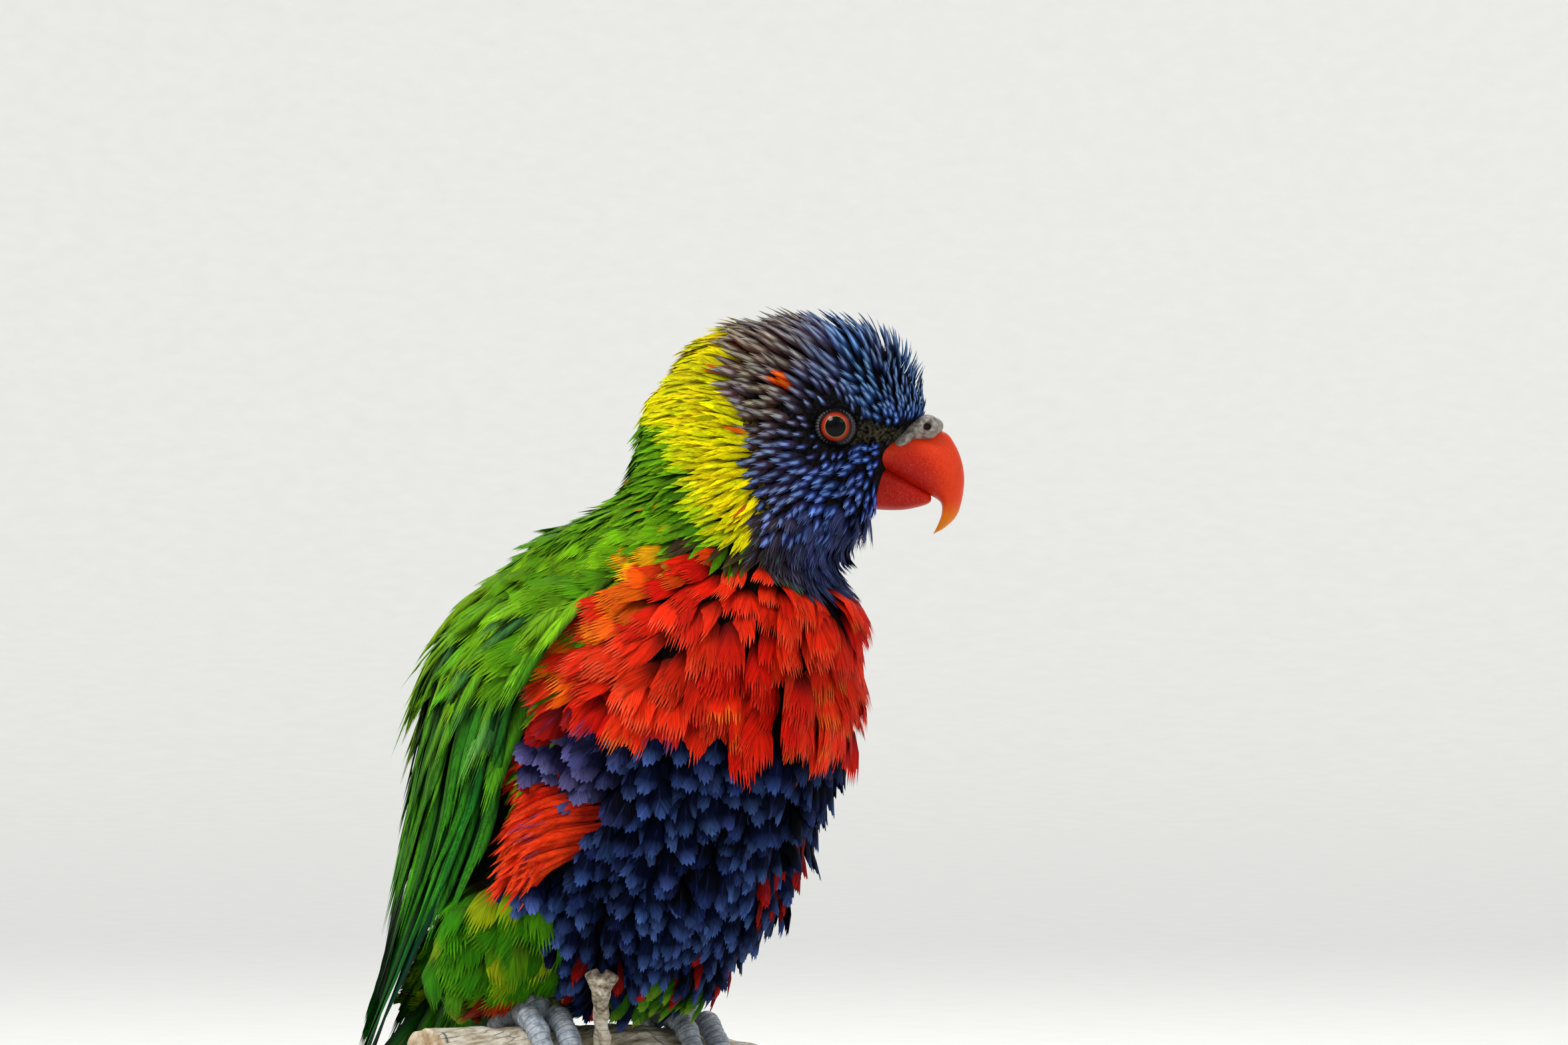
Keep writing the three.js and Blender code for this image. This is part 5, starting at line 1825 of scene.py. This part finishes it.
@dataclass
class Foot:
    """One foot with two toes ahead, two behind, and their claws."""

    side: int
    spacing: float = 17
    toe_gap: float = 3.1
    toe_radius: float = 2.5
    claw_radius: float = 1.15
    pad_radius: float = 4.2
    shank_radius: float = 2.7
    scutes: int = 15
    toes: tuple = ((-1, -14, -72, 30), (-1, 14, 74, 32), (1, 14, 94, 32), (1, -14, -88, 30))

    def toe(self, lean: int, start: float, end: float) -> Piece:
        """Makes one scaly toe wrapped round the branch."""
        share = np.linspace(0, 1, 7)
        distance = PERCH_RADIUS + 0.3 + self.toe_radius * mix(1.05, 0.82, share)
        along = self.side * self.spacing + lean * self.toe_gap
        path = round_perch(along, mix(start, end, share), distance)

        def radius(degrees: Array, t: Array) -> Array:
            """Thickens at the knuckles and steps at each scute."""
            knuckles = 1 - 0.07 * np.cos(6 * math.pi * t)
            scute = 0.1 * ((t * self.scutes) % 1.0) ** 1.5
            return self.toe_radius * mix(1.0, 0.78, t) * (knuckles - scute + 0.03)

        return tube("toe", path, radius, 32, 140)

    def claw(self, number: int, lean: int, end: float, reach: float) -> None:
        """Makes and dresses one curved claw.

        Args:
            number: Which toe it is on.
            lean: Side of the foot, -1 or 1.
            end: Angle of the toe's end round the branch.
            reach: Degrees that the claw goes on.
        """
        turn = math.copysign(1, end)
        share = np.linspace(0, 1, 6)
        distance = PERCH_RADIUS + 0.3 + mix(2.5, 0.6, share**1.4)
        along = self.side * self.spacing + lean * self.toe_gap
        path = round_perch(along, mix(end + turn, end + turn * reach, share), distance)
        name = side_name(self.side)
        girth = lambda degrees, t: mix(self.claw_radius * 1.05, 0.22, t**0.9)
        claw = tube(f"horn_claw_{name}_{number}", path, girth, 24, 36)
        claw.data.materials.append(ClawFinish(f"claw_horn_{name}_{number}").material())
        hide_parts(f"claw_{name}_{number}")
        fit(claw, "claw")

    def build(self) -> None:
        """Makes the foot and its claws."""
        name = side_name(self.side)
        sole = round_perch(self.side * self.spacing, -4, PERCH_RADIUS + 3.6)
        heel = sole + np.array([-11, self.side * 1.5, 6.5])
        path = np.stack([sole, mix(sole, heel, 0.5) + 0.8 * UP, heel])
        shank = tube("shank", path, lambda degrees, t: np.full_like(t, self.shank_radius), 28, 24)
        pad = egg("pad", round_perch(self.side * self.spacing, 0, PERCH_RADIUS + 3), (self.pad_radius,) * 3)
        toes = [self.toe(lean, start, end) for lean, start, end, _ in self.toes]
        foot = fused(f"foot_{name}_skin", [shank, pad, *toes], 0.26, 1)
        foot.data.materials.append(FootFinish(f"foot_scales_{name}").material())
        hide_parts(f"foot_{name}")
        fit(foot, "foot")
        for number, (lean, _, end, reach) in enumerate(self.toes, 1):
            self.claw(number, lean, end, reach)


# Finishes


class Nodes:
    """A small helper that adds nodes to a tree and links them."""

    def __init__(self, tree: bpy.types.NodeTree) -> None:
        """Starts with an empty tree."""
        self.tree = tree
        tree.nodes.clear()

    def add(self, kind: str, inputs: dict | None = None, **settings: object) -> bpy.types.Node:
        """Adds a node.

        Args:
            kind: Node type.
            inputs: Values or output sockets by input name or number.
            settings: Properties of the node.

        Returns:
            The node.
        """
        node = self.tree.nodes.new(kind)
        for key, value in settings.items():
            setattr(node, key, value)
        for key, value in (inputs or {}).items():
            if isinstance(value, Socket):
                self.tree.links.new(value, node.inputs[key])
            else:
                node.inputs[key].default_value = value
        return node

    def maths(self, operation: str, a: object, b: object = 0.0, c: object = 0.0) -> Socket:
        """Adds a Math node and returns its output."""
        return self.add("ShaderNodeMath", {0: a, 1: b, 2: c}, operation=operation).outputs[0]

    def times(self, a: object, b: object) -> Socket:
        """Multiplies two values."""
        return self.maths("MULTIPLY", a, b)

    def scaled(self, value: object, by: object, plus: object) -> Socket:
        """Multiplies a value and adds another."""
        return self.maths("MULTIPLY_ADD", value, by, plus)

    def less(self, a: object, b: object) -> Socket:
        """Takes the second value from the first."""
        return self.maths("SUBTRACT", a, b)

    def blend(self, share: object, a: object, b: object) -> Socket:
        """Mixes two colours and returns the result."""
        return self.add("ShaderNodeMix", {0: share, 6: a, 7: b}, data_type="RGBA").outputs[2]

    def ramp(self, value: object, low: float, high: float) -> Socket:
        """Rises smoothly from 0 at low to 1 at high."""
        inputs = {0: value, 1: low, 2: high}
        return self.add("ShaderNodeMapRange", inputs, interpolation_type="SMOOTHSTEP").outputs[0]

    def seams(self, place: object, scale: float) -> Socket:
        """Gives the distance from the seams between uneven cells."""
        inputs = {"Vector": place, "Scale": scale}
        return self.add("ShaderNodeTexVoronoi", inputs, feature="DISTANCE_TO_EDGE").outputs[0]

    def place(self) -> Socket:
        """Adds the Object coordinates, in metres."""
        return self.add("ShaderNodeTexCoord").outputs["Object"]

    def noise(self, scale: float, detail: float = 4.0, place: object = None) -> Socket:
        """Adds noise on Object coordinates, or on the place given, and returns its number."""
        inputs = {"Vector": place or self.place(), "Scale": scale, "Detail": detail}
        return self.add("ShaderNodeTexNoise", inputs).outputs[0]

    def length(self, a: object, b: object) -> Socket:
        """Gives the length of two distances at right angles."""
        flat = self.add("ShaderNodeCombineXYZ", {0: a, 1: b}).outputs[0]
        return self.add("ShaderNodeVectorMath", {0: flat}, operation="LENGTH").outputs[1]

    def stretched(self, scale: tuple[float, float, float], turn: float = 0.0) -> Socket:
        """Gives Object coordinates turned about the upright and scaled along each axis."""
        inputs = {"Vector": self.place(), "Rotation": (0, 0, turn), "Scale": scale}
        return self.add("ShaderNodeMapping", inputs).outputs[0]

    def turned(self, turn: float) -> tuple[Socket, ...]:
        """Gives Object coordinates in millimetres, turned about the upright, as three sockets."""
        laid = self.stretched((1 / MM, 1 / MM, 1 / MM), turn)
        return tuple(self.add("ShaderNodeSeparateXYZ", {0: laid}).outputs)

    def in_head(self) -> tuple[Socket, Socket]:
        """Gives a point's distance ahead in the head and its height."""
        ahead, _, height = self.turned(-HEAD_TURN)
        return ahead, self.less(height, PERCH_TOP)

    def from_spot(self, ahead: float, height: float) -> Socket:
        """Gives the distance from a spot in the head's side view."""
        place = self.in_head()
        return self.length(self.less(place[0], ahead), self.less(place[1], height))


def tone(code: str) -> tuple[float, float, float, float]:
    """Turns a screen colour into a linear one with full alpha."""
    return (*[float(v) for v in paint(code)], 1.0)


def new_material(name: str) -> tuple[bpy.types.Material, Nodes]:
    """Starts a material and gives it with a helper for its tree."""
    made = bpy.data.materials.new(name)
    made.use_nodes = True
    return made, Nodes(made.node_tree)


def close_material(
    made: bpy.types.Material,
    nodes: Nodes,
    colour: object,
    rough: object,
    height: object,
    relief: float,
    extra: dict | None = None,
) -> bpy.types.Material:
    """Ends a material with its shader.

    Args:
        made: Material.
        nodes: Helper for its tree.
        colour: Base colour.
        rough: Roughness.
        height: Height for the relief.
        relief: Depth of the relief in metres.
        extra: More constant inputs of the shader.

    Returns:
        The material.
    """
    bump = nodes.add("ShaderNodeBump", {"Height": height, "Strength": 0.8, "Distance": relief})
    inputs = {"Base Color": colour, "Roughness": rough, "Normal": bump.outputs[0], **(extra or {})}
    shader = nodes.add("ShaderNodeBsdfPrincipled", inputs)
    nodes.add("ShaderNodeOutputMaterial", {"Surface": shader.outputs[0]})
    return made


def vane_group() -> bpy.types.NodeTree:
    """Builds the group that draws barbs and shafts on every vane, once, with painted shade between barbs,
    between bundles and along the vane's edges.

    Returns:
        The group. Its outputs are Color, Roughness and Height.
    """
    if "vane barbs" in bpy.data.node_groups:
        return bpy.data.node_groups["vane barbs"]
    group = bpy.data.node_groups.new("vane barbs", "ShaderNodeTree")
    numbers = ("Strength", "Chance", "Streak Width", "Streak Start", "Spacing", "Angle", "Contrast", "Edge")
    inputs = {"Color": ("Coat", "Streak"), "Vector": ("Vane", "Share"), "Float": numbers}
    outputs = {"Color": ("Color",), "Float": ("Roughness", "Height")}
    for way, sockets in (("INPUT", inputs), ("OUTPUT", outputs)):
        for kind, names in sockets.items():
            for name in names:
                group.interface.new_socket(name, in_out=way, socket_type=f"NodeSocket{kind}")
    nodes = Nodes(group)
    maths, times, less, scaled = nodes.maths, nodes.times, nodes.less, nodes.scaled
    given = nodes.add("NodeGroupInput").outputs
    place = nodes.add("ShaderNodeSeparateXYZ", {0: given["Vane"]}).outputs
    share = nodes.add("ShaderNodeSeparateXYZ", {0: given["Share"]}).outputs
    aside, angle = maths("ABSOLUTE", place[0]), given["Angle"]
    cos, sin = maths("COSINE", angle), maths("SINE", angle)
    over = less(times(aside, cos), times(place[1], sin))
    along = maths("ADD", times(aside, sin), times(place[1], cos))
    barb = {0: times(over, 2.2), 1: times(along, 0.16), 2: times(given["Chance"], 90.0)}
    bundles = nodes.noise(1.0, 4.0, nodes.add("ShaderNodeCombineXYZ", barb).outputs[0])
    phase = maths("DIVIDE", scaled(bundles, 0.5, over), given["Spacing"])
    lines = scaled(maths("SINE", times(phase, 2 * math.pi)), 0.5, 0.5)
    width = maths("DIVIDE", maths("ABSOLUTE", share[0]), given["Streak Width"])
    start = nodes.ramp(less(share[1], given["Streak Start"]), 0.0, 0.22)
    shaft = times(less(1.0, nodes.ramp(width, 0.35, 1.0)), start)
    shaft = times(shaft, given["Strength"])
    colour = nodes.blend(shaft, given["Coat"], given["Streak"])
    # Painted shade: darker in the troughs between barbs and in the partings between bundles.
    lit = scaled(lines, 0.3, nodes.ramp(bundles, 0.3, 0.7))
    shade = scaled(less(lit, 0.72), given["Contrast"], 1.0)
    # Painted shade along the vane's edges, for the dark gaps between feathers.
    rim = times(nodes.ramp(maths("ABSOLUTE", share[0]), 0.3, 1.0), given["Edge"])
    shade = times(shade, less(1.0, rim))
    shaded = nodes.add("ShaderNodeVectorMath", {0: colour, "Scale": shade}, operation="SCALE").outputs[0]
    height = maths("ADD", scaled(shaft, 0.6, lines), times(bundles, 2.0))
    rough = scaled(lines, -0.12, 0.66)
    nodes.add("NodeGroupOutput", {"Color": shaded, "Roughness": rough, "Height": height})
    return group


@dataclass(frozen=True)
class FeatherFinish:
    """Vanes: barbs drawn as fine lines of painted shade on each feather's own map, over its stored colours,
    with painted shade along the edges where edge is set.
    """

    name: str
    streak_width: float = 0.1
    streak_start: float = 0.3
    spacing: float = 0.4
    angle: float = 24
    # Strength of the painted shade between barbs and bundles.
    contrast: float = 0.6
    # Strength of the painted shade along the vanes' edges, for the dark gaps between feathers.
    edge: float = 0.0
    specular: float = 0.08
    relief: float = 0.00005

    def material(self) -> bpy.types.Material:
        """Builds the material."""
        made, nodes = new_material(self.name)
        coat = nodes.add("ShaderNodeAttribute", attribute_name="Coat").outputs
        streak = nodes.add("ShaderNodeAttribute", attribute_name="Streak").outputs
        inputs = {
            "Coat": coat["Color"],
            "Streak": streak["Color"],
            "Vane": nodes.add("ShaderNodeUVMap", uv_map="Vane").outputs[0],
            "Share": nodes.add("ShaderNodeUVMap", uv_map="Share").outputs[0],
            "Strength": coat["Alpha"],
            "Chance": streak["Alpha"],
            "Streak Width": self.streak_width,
            "Streak Start": self.streak_start,
            "Spacing": self.spacing,
            "Angle": math.radians(self.angle),
            "Contrast": self.contrast,
            "Edge": self.edge,
        }
        vane = nodes.add("ShaderNodeGroup", inputs, node_tree=vane_group())
        extra = {"Specular IOR Level": self.specular, "IOR": 1.35}
        return close_material(made, nodes, *vane.outputs[:3], self.relief, extra)


@dataclass(frozen=True)
class DownWithPaintedShadeFinish:
    """Soft down over the skin between the feathers, dark and flecked with black as painted shade for the
    gaps.
    """

    name: str

    def material(self) -> bpy.types.Material:
        """Builds the material."""
        made, nodes = new_material(self.name)
        coat = nodes.add("ShaderNodeAttribute", attribute_name="Coat").outputs["Color"]
        grain = nodes.noise(1400.0, 3.0)
        # Painted shade: the down is mixed towards black in flecks.
        colour = nodes.blend(nodes.ramp(grain, 0.35, 0.7), tone("#000000"), coat)
        return close_material(made, nodes, colour, 0.9, grain, 0.0003, {"Specular IOR Level": 0.1})


@dataclass(frozen=True)
class HornFinish:
    """Glossy orange-red bill, deeper in the middle, orange along the ridge and yellow at the hook."""

    name: str

    def material(self) -> bpy.types.Material:
        """Builds the material."""
        made, nodes = new_material(self.name)
        ahead, height = nodes.in_head()
        grain, fine = nodes.noise(420.0, 5.0), nodes.noise(2600.0, 3.0)
        reach = nodes.scaled(grain, 1.6, nodes.from_spot(59.0, 107.5))
        colour = nodes.blend(nodes.ramp(reach, 4.0, 12.0), tone("#b80c04"), tone("#f23c08"))
        hook = nodes.scaled(grain, 1.5, nodes.times(height, -1.0))
        tip = nodes.times(nodes.ramp(hook, -104.5, -98.0), nodes.ramp(ahead, 64.0, 66.0))
        colour = nodes.blend(tip, colour, tone("#ec8a0c"))
        flecks = nodes.times(nodes.ramp(fine, 0.45, 0.75), 0.15)
        colour = nodes.blend(flecks, colour, tone("#ff8a50"))
        rough = nodes.scaled(grain, 0.2, 0.36)
        return close_material(made, nodes, colour, rough, grain, 0.00015, {"Specular IOR Level": 0.2})


@dataclass(frozen=True)
class CereFinish:
    """Warm grey wrinkled skin, with painted shade in dark brown-red inside each nostril's hollow."""

    name: str

    def material(self) -> bpy.types.Material:
        """Builds the material."""
        made, nodes = new_material(self.name)
        grain = nodes.noise(1300.0, 5.0)
        colour = nodes.blend(nodes.ramp(grain, 0.3, 0.7), tone("#655e57"), tone("#b2a99e"))
        # Painted shade: dark brown-red inside the nostril.
        inside = nodes.ramp(nodes.times(nodes.from_spot(*Cere.nostril), -1.0), -1.0, -0.55)
        colour = nodes.blend(inside, colour, tone("#3a150c"))
        return close_material(made, nodes, colour, nodes.scaled(grain, 0.3, 0.4), grain, 0.0003)


@dataclass(frozen=True)
class LidFinish:
    """Dark grey skin of the lids."""

    name: str

    def material(self) -> bpy.types.Material:
        """Builds the material."""
        made, nodes = new_material(self.name)
        grain = nodes.noise(2200.0, 4.0)
        colour = nodes.blend(nodes.ramp(grain, 0.3, 0.7), tone("#0e0d10"), tone("#3c3a40"))
        return close_material(made, nodes, colour, 0.55, grain, 0.0001)


@dataclass(frozen=True)
class EyeFinish:
    """Black pupil, thin pale ring and orange-red iris under a wet cornea."""

    name: str

    def material(self) -> bpy.types.Material:
        """Builds the material."""
        made, nodes = new_material(self.name)
        ahead, height = nodes.in_head()
        across, up = nodes.less(ahead, EYE_AHEAD), nodes.less(height, EYE_HEIGHT)
        away, turn = nodes.length(across, up), nodes.maths("ARCTAN2", up, across)
        spokes = nodes.scaled(nodes.maths("SINE", nodes.times(turn, 60.0)), 0.5, 0.5)
        iris = nodes.blend(spokes, tone("#84180a"), tone("#c83a16"))
        iris = nodes.blend(nodes.ramp(away, 2.45, 2.85), iris, tone("#5a1006"))
        colour = nodes.blend(nodes.ramp(away, 2.1, 2.2), tone("#8c7f50"), iris)
        colour = nodes.blend(nodes.ramp(away, 1.98, 2.08), tone("#010101"), colour)
        colour = nodes.blend(nodes.ramp(away, 2.85, 3.0), colour, tone("#0a0807"))
        extra = {"Coat Weight": 0.25, "Coat Roughness": 0.03, "Specular IOR Level": 0.05}
        return close_material(made, nodes, colour, 0.3, away, 0.00001, extra)


@dataclass(frozen=True)
class FootFinish:
    """Blue-grey scaly skin, banded across the toes."""

    name: str

    def material(self) -> bpy.types.Material:
        """Builds the material."""
        made, nodes = new_material(self.name)
        ahead, _, height = nodes.turned(PERCH_YAW)
        level = nodes.less(height, PERCH_TOP - PERCH_RADIUS)
        turn = nodes.maths("ARCTAN2", ahead, level)
        band = nodes.maths("ABSOLUTE", nodes.maths("SINE", nodes.times(turn, 28.0)))
        grain = nodes.noise(700.0, 4.0)
        small = nodes.scaled(nodes.ramp(nodes.seams(nodes.place(), 1500.0), 0.0, 0.08), 0.45, 0.55)
        seam = nodes.times(small, nodes.ramp(band, 0.0, 0.4))
        colour = nodes.blend(nodes.ramp(grain, 0.3, 0.7), tone("#7f8a99"), tone("#bac2ca"))
        colour = nodes.blend(nodes.scaled(seam, 0.6, 0.4), tone("#4a4a4e"), colour)
        relief = nodes.scaled(grain, 0.4, seam)
        return close_material(made, nodes, colour, nodes.scaled(grain, 0.25, 0.4), relief, 0.00012)


@dataclass(frozen=True)
class ClawFinish:
    """Dark horn with fine lines."""

    name: str

    def material(self) -> bpy.types.Material:
        """Builds the material."""
        made, nodes = new_material(self.name)
        grain = nodes.noise(900.0, 5.0)
        colour = nodes.blend(nodes.ramp(grain, 0.35, 0.7), tone("#1c1b1e"), tone("#57555a"))
        return close_material(made, nodes, colour, nodes.scaled(grain, 0.2, 0.25), grain, 0.00008)


@dataclass(frozen=True)
class BarkFinish:
    """Pale tan-grey bark with cracks and pale cut ends with a brown rim."""

    name: str

    def material(self) -> bpy.types.Material:
        """Builds the material."""
        made, nodes = new_material(self.name)
        _, aside, height = nodes.turned(PERCH_YAW)
        grainwise = nodes.stretched((1000, 160, 1000), PERCH_YAW)
        streaks, cells = nodes.noise(0.9, 8.0, grainwise), nodes.seams(grainwise, 0.42)
        blotch, fine = nodes.noise(110.0, 5.0), nodes.noise(900.0, 6.0)
        colour = nodes.blend(nodes.ramp(streaks, 0.3, 0.66), tone("#a08e72"), tone("#e4dbc6"))
        colour = nodes.blend(nodes.times(nodes.ramp(blotch, 0.5, 0.66), 0.6), colour, tone("#f0eadc"))
        colour = nodes.blend(nodes.times(nodes.ramp(fine, 0.55, 0.7), 0.35), colour, tone("#7d6c55"))
        crack = nodes.times(nodes.less(1.0, nodes.ramp(cells, 0.0, 0.03)), nodes.ramp(blotch, 0.5, 0.6))
        colour = nodes.blend(nodes.times(crack, 0.5), colour, tone("#5a4938"))
        stub = nodes.times(nodes.ramp(height, 104.5, 107.0), nodes.ramp(fine, 0.3, 0.75))
        colour = nodes.blend(stub, colour, tone("#54402f"))
        colour = nodes.blend(nodes.times(nodes.ramp(height, 112.2, 114.4), 0.7), colour, tone("#33231a"))
        cut = nodes.ramp(nodes.times(aside, -1.0), 39.8, 40.6)
        wood = nodes.blend(nodes.ramp(nodes.noise(300.0), 0.35, 0.7), tone("#a98a62"), tone("#e8dcc0"))
        colour = nodes.blend(cut, colour, wood)
        relief = nodes.less(nodes.scaled(fine, 0.5, streaks), nodes.times(crack, 0.6))
        return close_material(made, nodes, colour, 0.85, relief, 0.0008)


@dataclass(frozen=True)
class StandWoodFinish:
    """Dark varnished wood with long grain."""

    name: str

    def material(self) -> bpy.types.Material:
        """Builds the material."""
        made, nodes = new_material(self.name)
        grainwise = nodes.stretched((9.0, 130.0, 130.0))
        grain, pores = nodes.noise(1.6, 8.0, grainwise), nodes.noise(9.0, 3.0, grainwise)
        colour = nodes.blend(nodes.ramp(grain, 0.32, 0.68), tone("#24150c"), tone("#5e3b22"))
        colour = nodes.blend(nodes.times(nodes.ramp(pores, 0.6, 0.75), 0.5), colour, tone("#140b06"))
        rough = nodes.scaled(pores, 0.25, 0.25)
        extra = {"Coat Weight": 0.3, "Coat Roughness": 0.2}
        return close_material(made, nodes, colour, rough, pores, 0.0001, extra)


@dataclass(frozen=True)
class RodFinish:
    """Brushed steel."""

    name: str

    def material(self) -> bpy.types.Material:
        """Builds the material."""
        made, nodes = new_material(self.name)
        brush = nodes.noise(6.0, 3.0, nodes.stretched((400.0, 400.0, 20.0)))
        colour = nodes.blend(brush, tone("#8d8e90"), tone("#c6c7c8"))
        rough = nodes.scaled(brush, 0.2, 0.22)
        return close_material(made, nodes, colour, rough, brush, 0.00003, {"Metallic": 1.0})


@dataclass
class Stand:
    """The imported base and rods, which keep their shape and get their finish here."""

    def build(self) -> None:
        """Dresses the stand's nodes."""
        finishes = {"stand_base": StandWoodFinish("stand_wood")}
        finishes |= {f"stand_rod_{k}": RodFinish(f"stand_metal_{k}") for k in (1, 2)}
        for node, finish in finishes.items():
            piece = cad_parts[node]
            piece.data.materials.clear()
            piece.data.materials.append(finish.material())
            LOG.info("%s dressed", node)


# Studio


@dataclass
class Studio:
    """Pale floor, soft lights and the camera at the photograph's angle."""

    azimuth: float = 40
    distance: float = 1743
    aim: tuple[float, float] = (35.5, 203.1)
    lens: float = 200
    floor_reach: float = 4.0
    wall_reach: float = 7.0
    wall_height: float = 3.6
    steps: int = 12
    lamps: tuple = (
        ("key", "SUN", -8, 50, 2.3, 24),
        ("fill", "SUN", 100, 28, 0.7, 50),
        ("rim", "AREA", 215, 40, 14, 1.0),
    )

    def floor(self) -> None:
        """Makes a round floor that curves up into a pale wall."""
        bpy.ops.object.select_all(action="DESELECT")
        bpy.ops.mesh.primitive_circle_add(vertices=128, radius=self.floor_reach, fill_type="TRIFAN")
        floor = bpy.context.object
        floor.name = "studio_floor"
        bpy.ops.object.mode_set(mode="EDIT")
        bpy.ops.mesh.select_all(action="DESELECT")
        bpy.ops.mesh.select_non_manifold()
        turns = np.linspace(0, math.pi / 2, self.steps + 1)
        reaches = self.floor_reach + (self.wall_reach - self.floor_reach) * np.sin(turns)
        heights = self.wall_height * (1 - np.cos(turns))
        for k in range(self.steps):
            rise = {"value": (0, 0, heights[k + 1] - heights[k])}
            bpy.ops.mesh.extrude_region_move(TRANSFORM_OT_translate=rise)
            grow = reaches[k + 1] / reaches[k]
            bpy.ops.transform.resize(value=(grow, grow, 1), center_override=(0, 0, 0))
        bpy.ops.object.mode_set(mode="OBJECT")
        bpy.ops.object.shade_smooth()
        made, nodes = new_material("studio_paper")
        grain = nodes.noise(60.0, 3.0)
        colour = nodes.blend(grain, tone("#d2d2ce"), tone("#dadad6"))
        floor.data.materials.append(close_material(made, nodes, colour, 0.9, grain, 0.0001))

    def lamp(
        self, name: str, kind: str, azimuth: float, elevation: float, power: float, size: float
    ) -> None:
        """Hangs one soft light that faces the part.

        Args:
            name: Name of the light.
            kind: SUN or AREA.
            azimuth: Where it hangs, in the camera's way of counting.
            elevation: Height over the horizon in degrees.
            power: Strength of a sun, or power of an area light in watts.
            size: Angle of a sun in degrees, or size of an area light in metres.
        """
        a, e = math.radians(azimuth), math.radians(elevation)
        away = Vector((math.sin(a) * math.cos(e), -math.cos(a) * math.cos(e), math.sin(e)))
        data = bpy.data.lights.new(name, kind)
        data.energy = power
        if kind == "SUN":
            data.angle = math.radians(size)
        else:
            data.shape, data.size = "DISK", size
        lamp = bpy.data.objects.new(name, data)
        lamp.location = Vector((0, 0, 0.18)) + away * 1.8
        lamp.rotation_euler = (-away).to_track_quat("-Z", "Y").to_euler()
        bpy.context.scene.collection.objects.link(lamp)

    def camera(self) -> None:
        """Sets the camera level with the bird, as the photograph has it."""
        a = math.radians(self.azimuth)
        right, looking = Vector((math.cos(a), math.sin(a), 0)), Vector((-math.sin(a), math.cos(a), 0))
        data = bpy.data.cameras.new("camera")
        data.lens, data.sensor_width = self.lens, 36
        data.clip_start, data.clip_end = 0.05, 60
        camera = bpy.data.objects.new("camera", data)
        middle = right * (self.aim[0] * MM) + Vector((0, 0, self.aim[1] * MM))
        camera.location = middle - looking * (self.distance * MM)
        camera.rotation_euler = looking.to_track_quat("-Z", "Y").to_euler()
        bpy.context.scene.collection.objects.link(camera)
        bpy.context.scene.camera = camera

    def build(self) -> None:
        """Sets up the whole studio."""
        self.floor()
        for settings in self.lamps:
            self.lamp(*settings)
        world = bpy.data.worlds.new("studio_air")
        world.use_nodes = True
        world.node_tree.nodes["Background"].inputs[0].default_value = (0.93, 0.95, 1.0, 1)
        world.node_tree.nodes["Background"].inputs[1].default_value = 0.42
        bpy.context.scene.world = world
        bpy.context.scene.view_settings.view_transform = "Standard"
        self.camera()


def main() -> None:
    """Builds the part's looks in order."""
    logging.basicConfig(level=logging.INFO, format="%(message)s")
    skin = Skin().build()
    skin.dress()
    # The edge values paint shade along the vanes' edges, and contrast paints shade between barbs.
    finishes = {
        "streaked": FeatherFinish("feathers_streaked", 0.55, 0.36, contrast=0.35, edge=0.4).material(),
        "barbed": FeatherFinish("feathers_barbed", angle=17).material(),
        "silky": FeatherFinish("feathers_silky", contrast=0.4, edge=0.25).material(),
        "dusky": FeatherFinish("feathers_dusky", contrast=0.7, edge=0.35, specular=0.04).material(),
        "flight": FeatherFinish("feathers_flight", 0.12, angle=28, edge=0.8, specular=0.1).material(),
    }
    for tract, kind in plumage():
        tract.build(skin).data.materials.append(finishes[kind])
    for feathered in (Wing(1), Wing(-1), Tail()):
        feathered.build().data.materials.append(finishes["flight"])
    bare = (Bill(), Cere(), Eye(1), Eye(-1), Foot(1), Foot(-1), Branch(), Stand(), Studio())
    for assembly in bare:
        assembly.build()


if __name__ == "__main__":
    main()
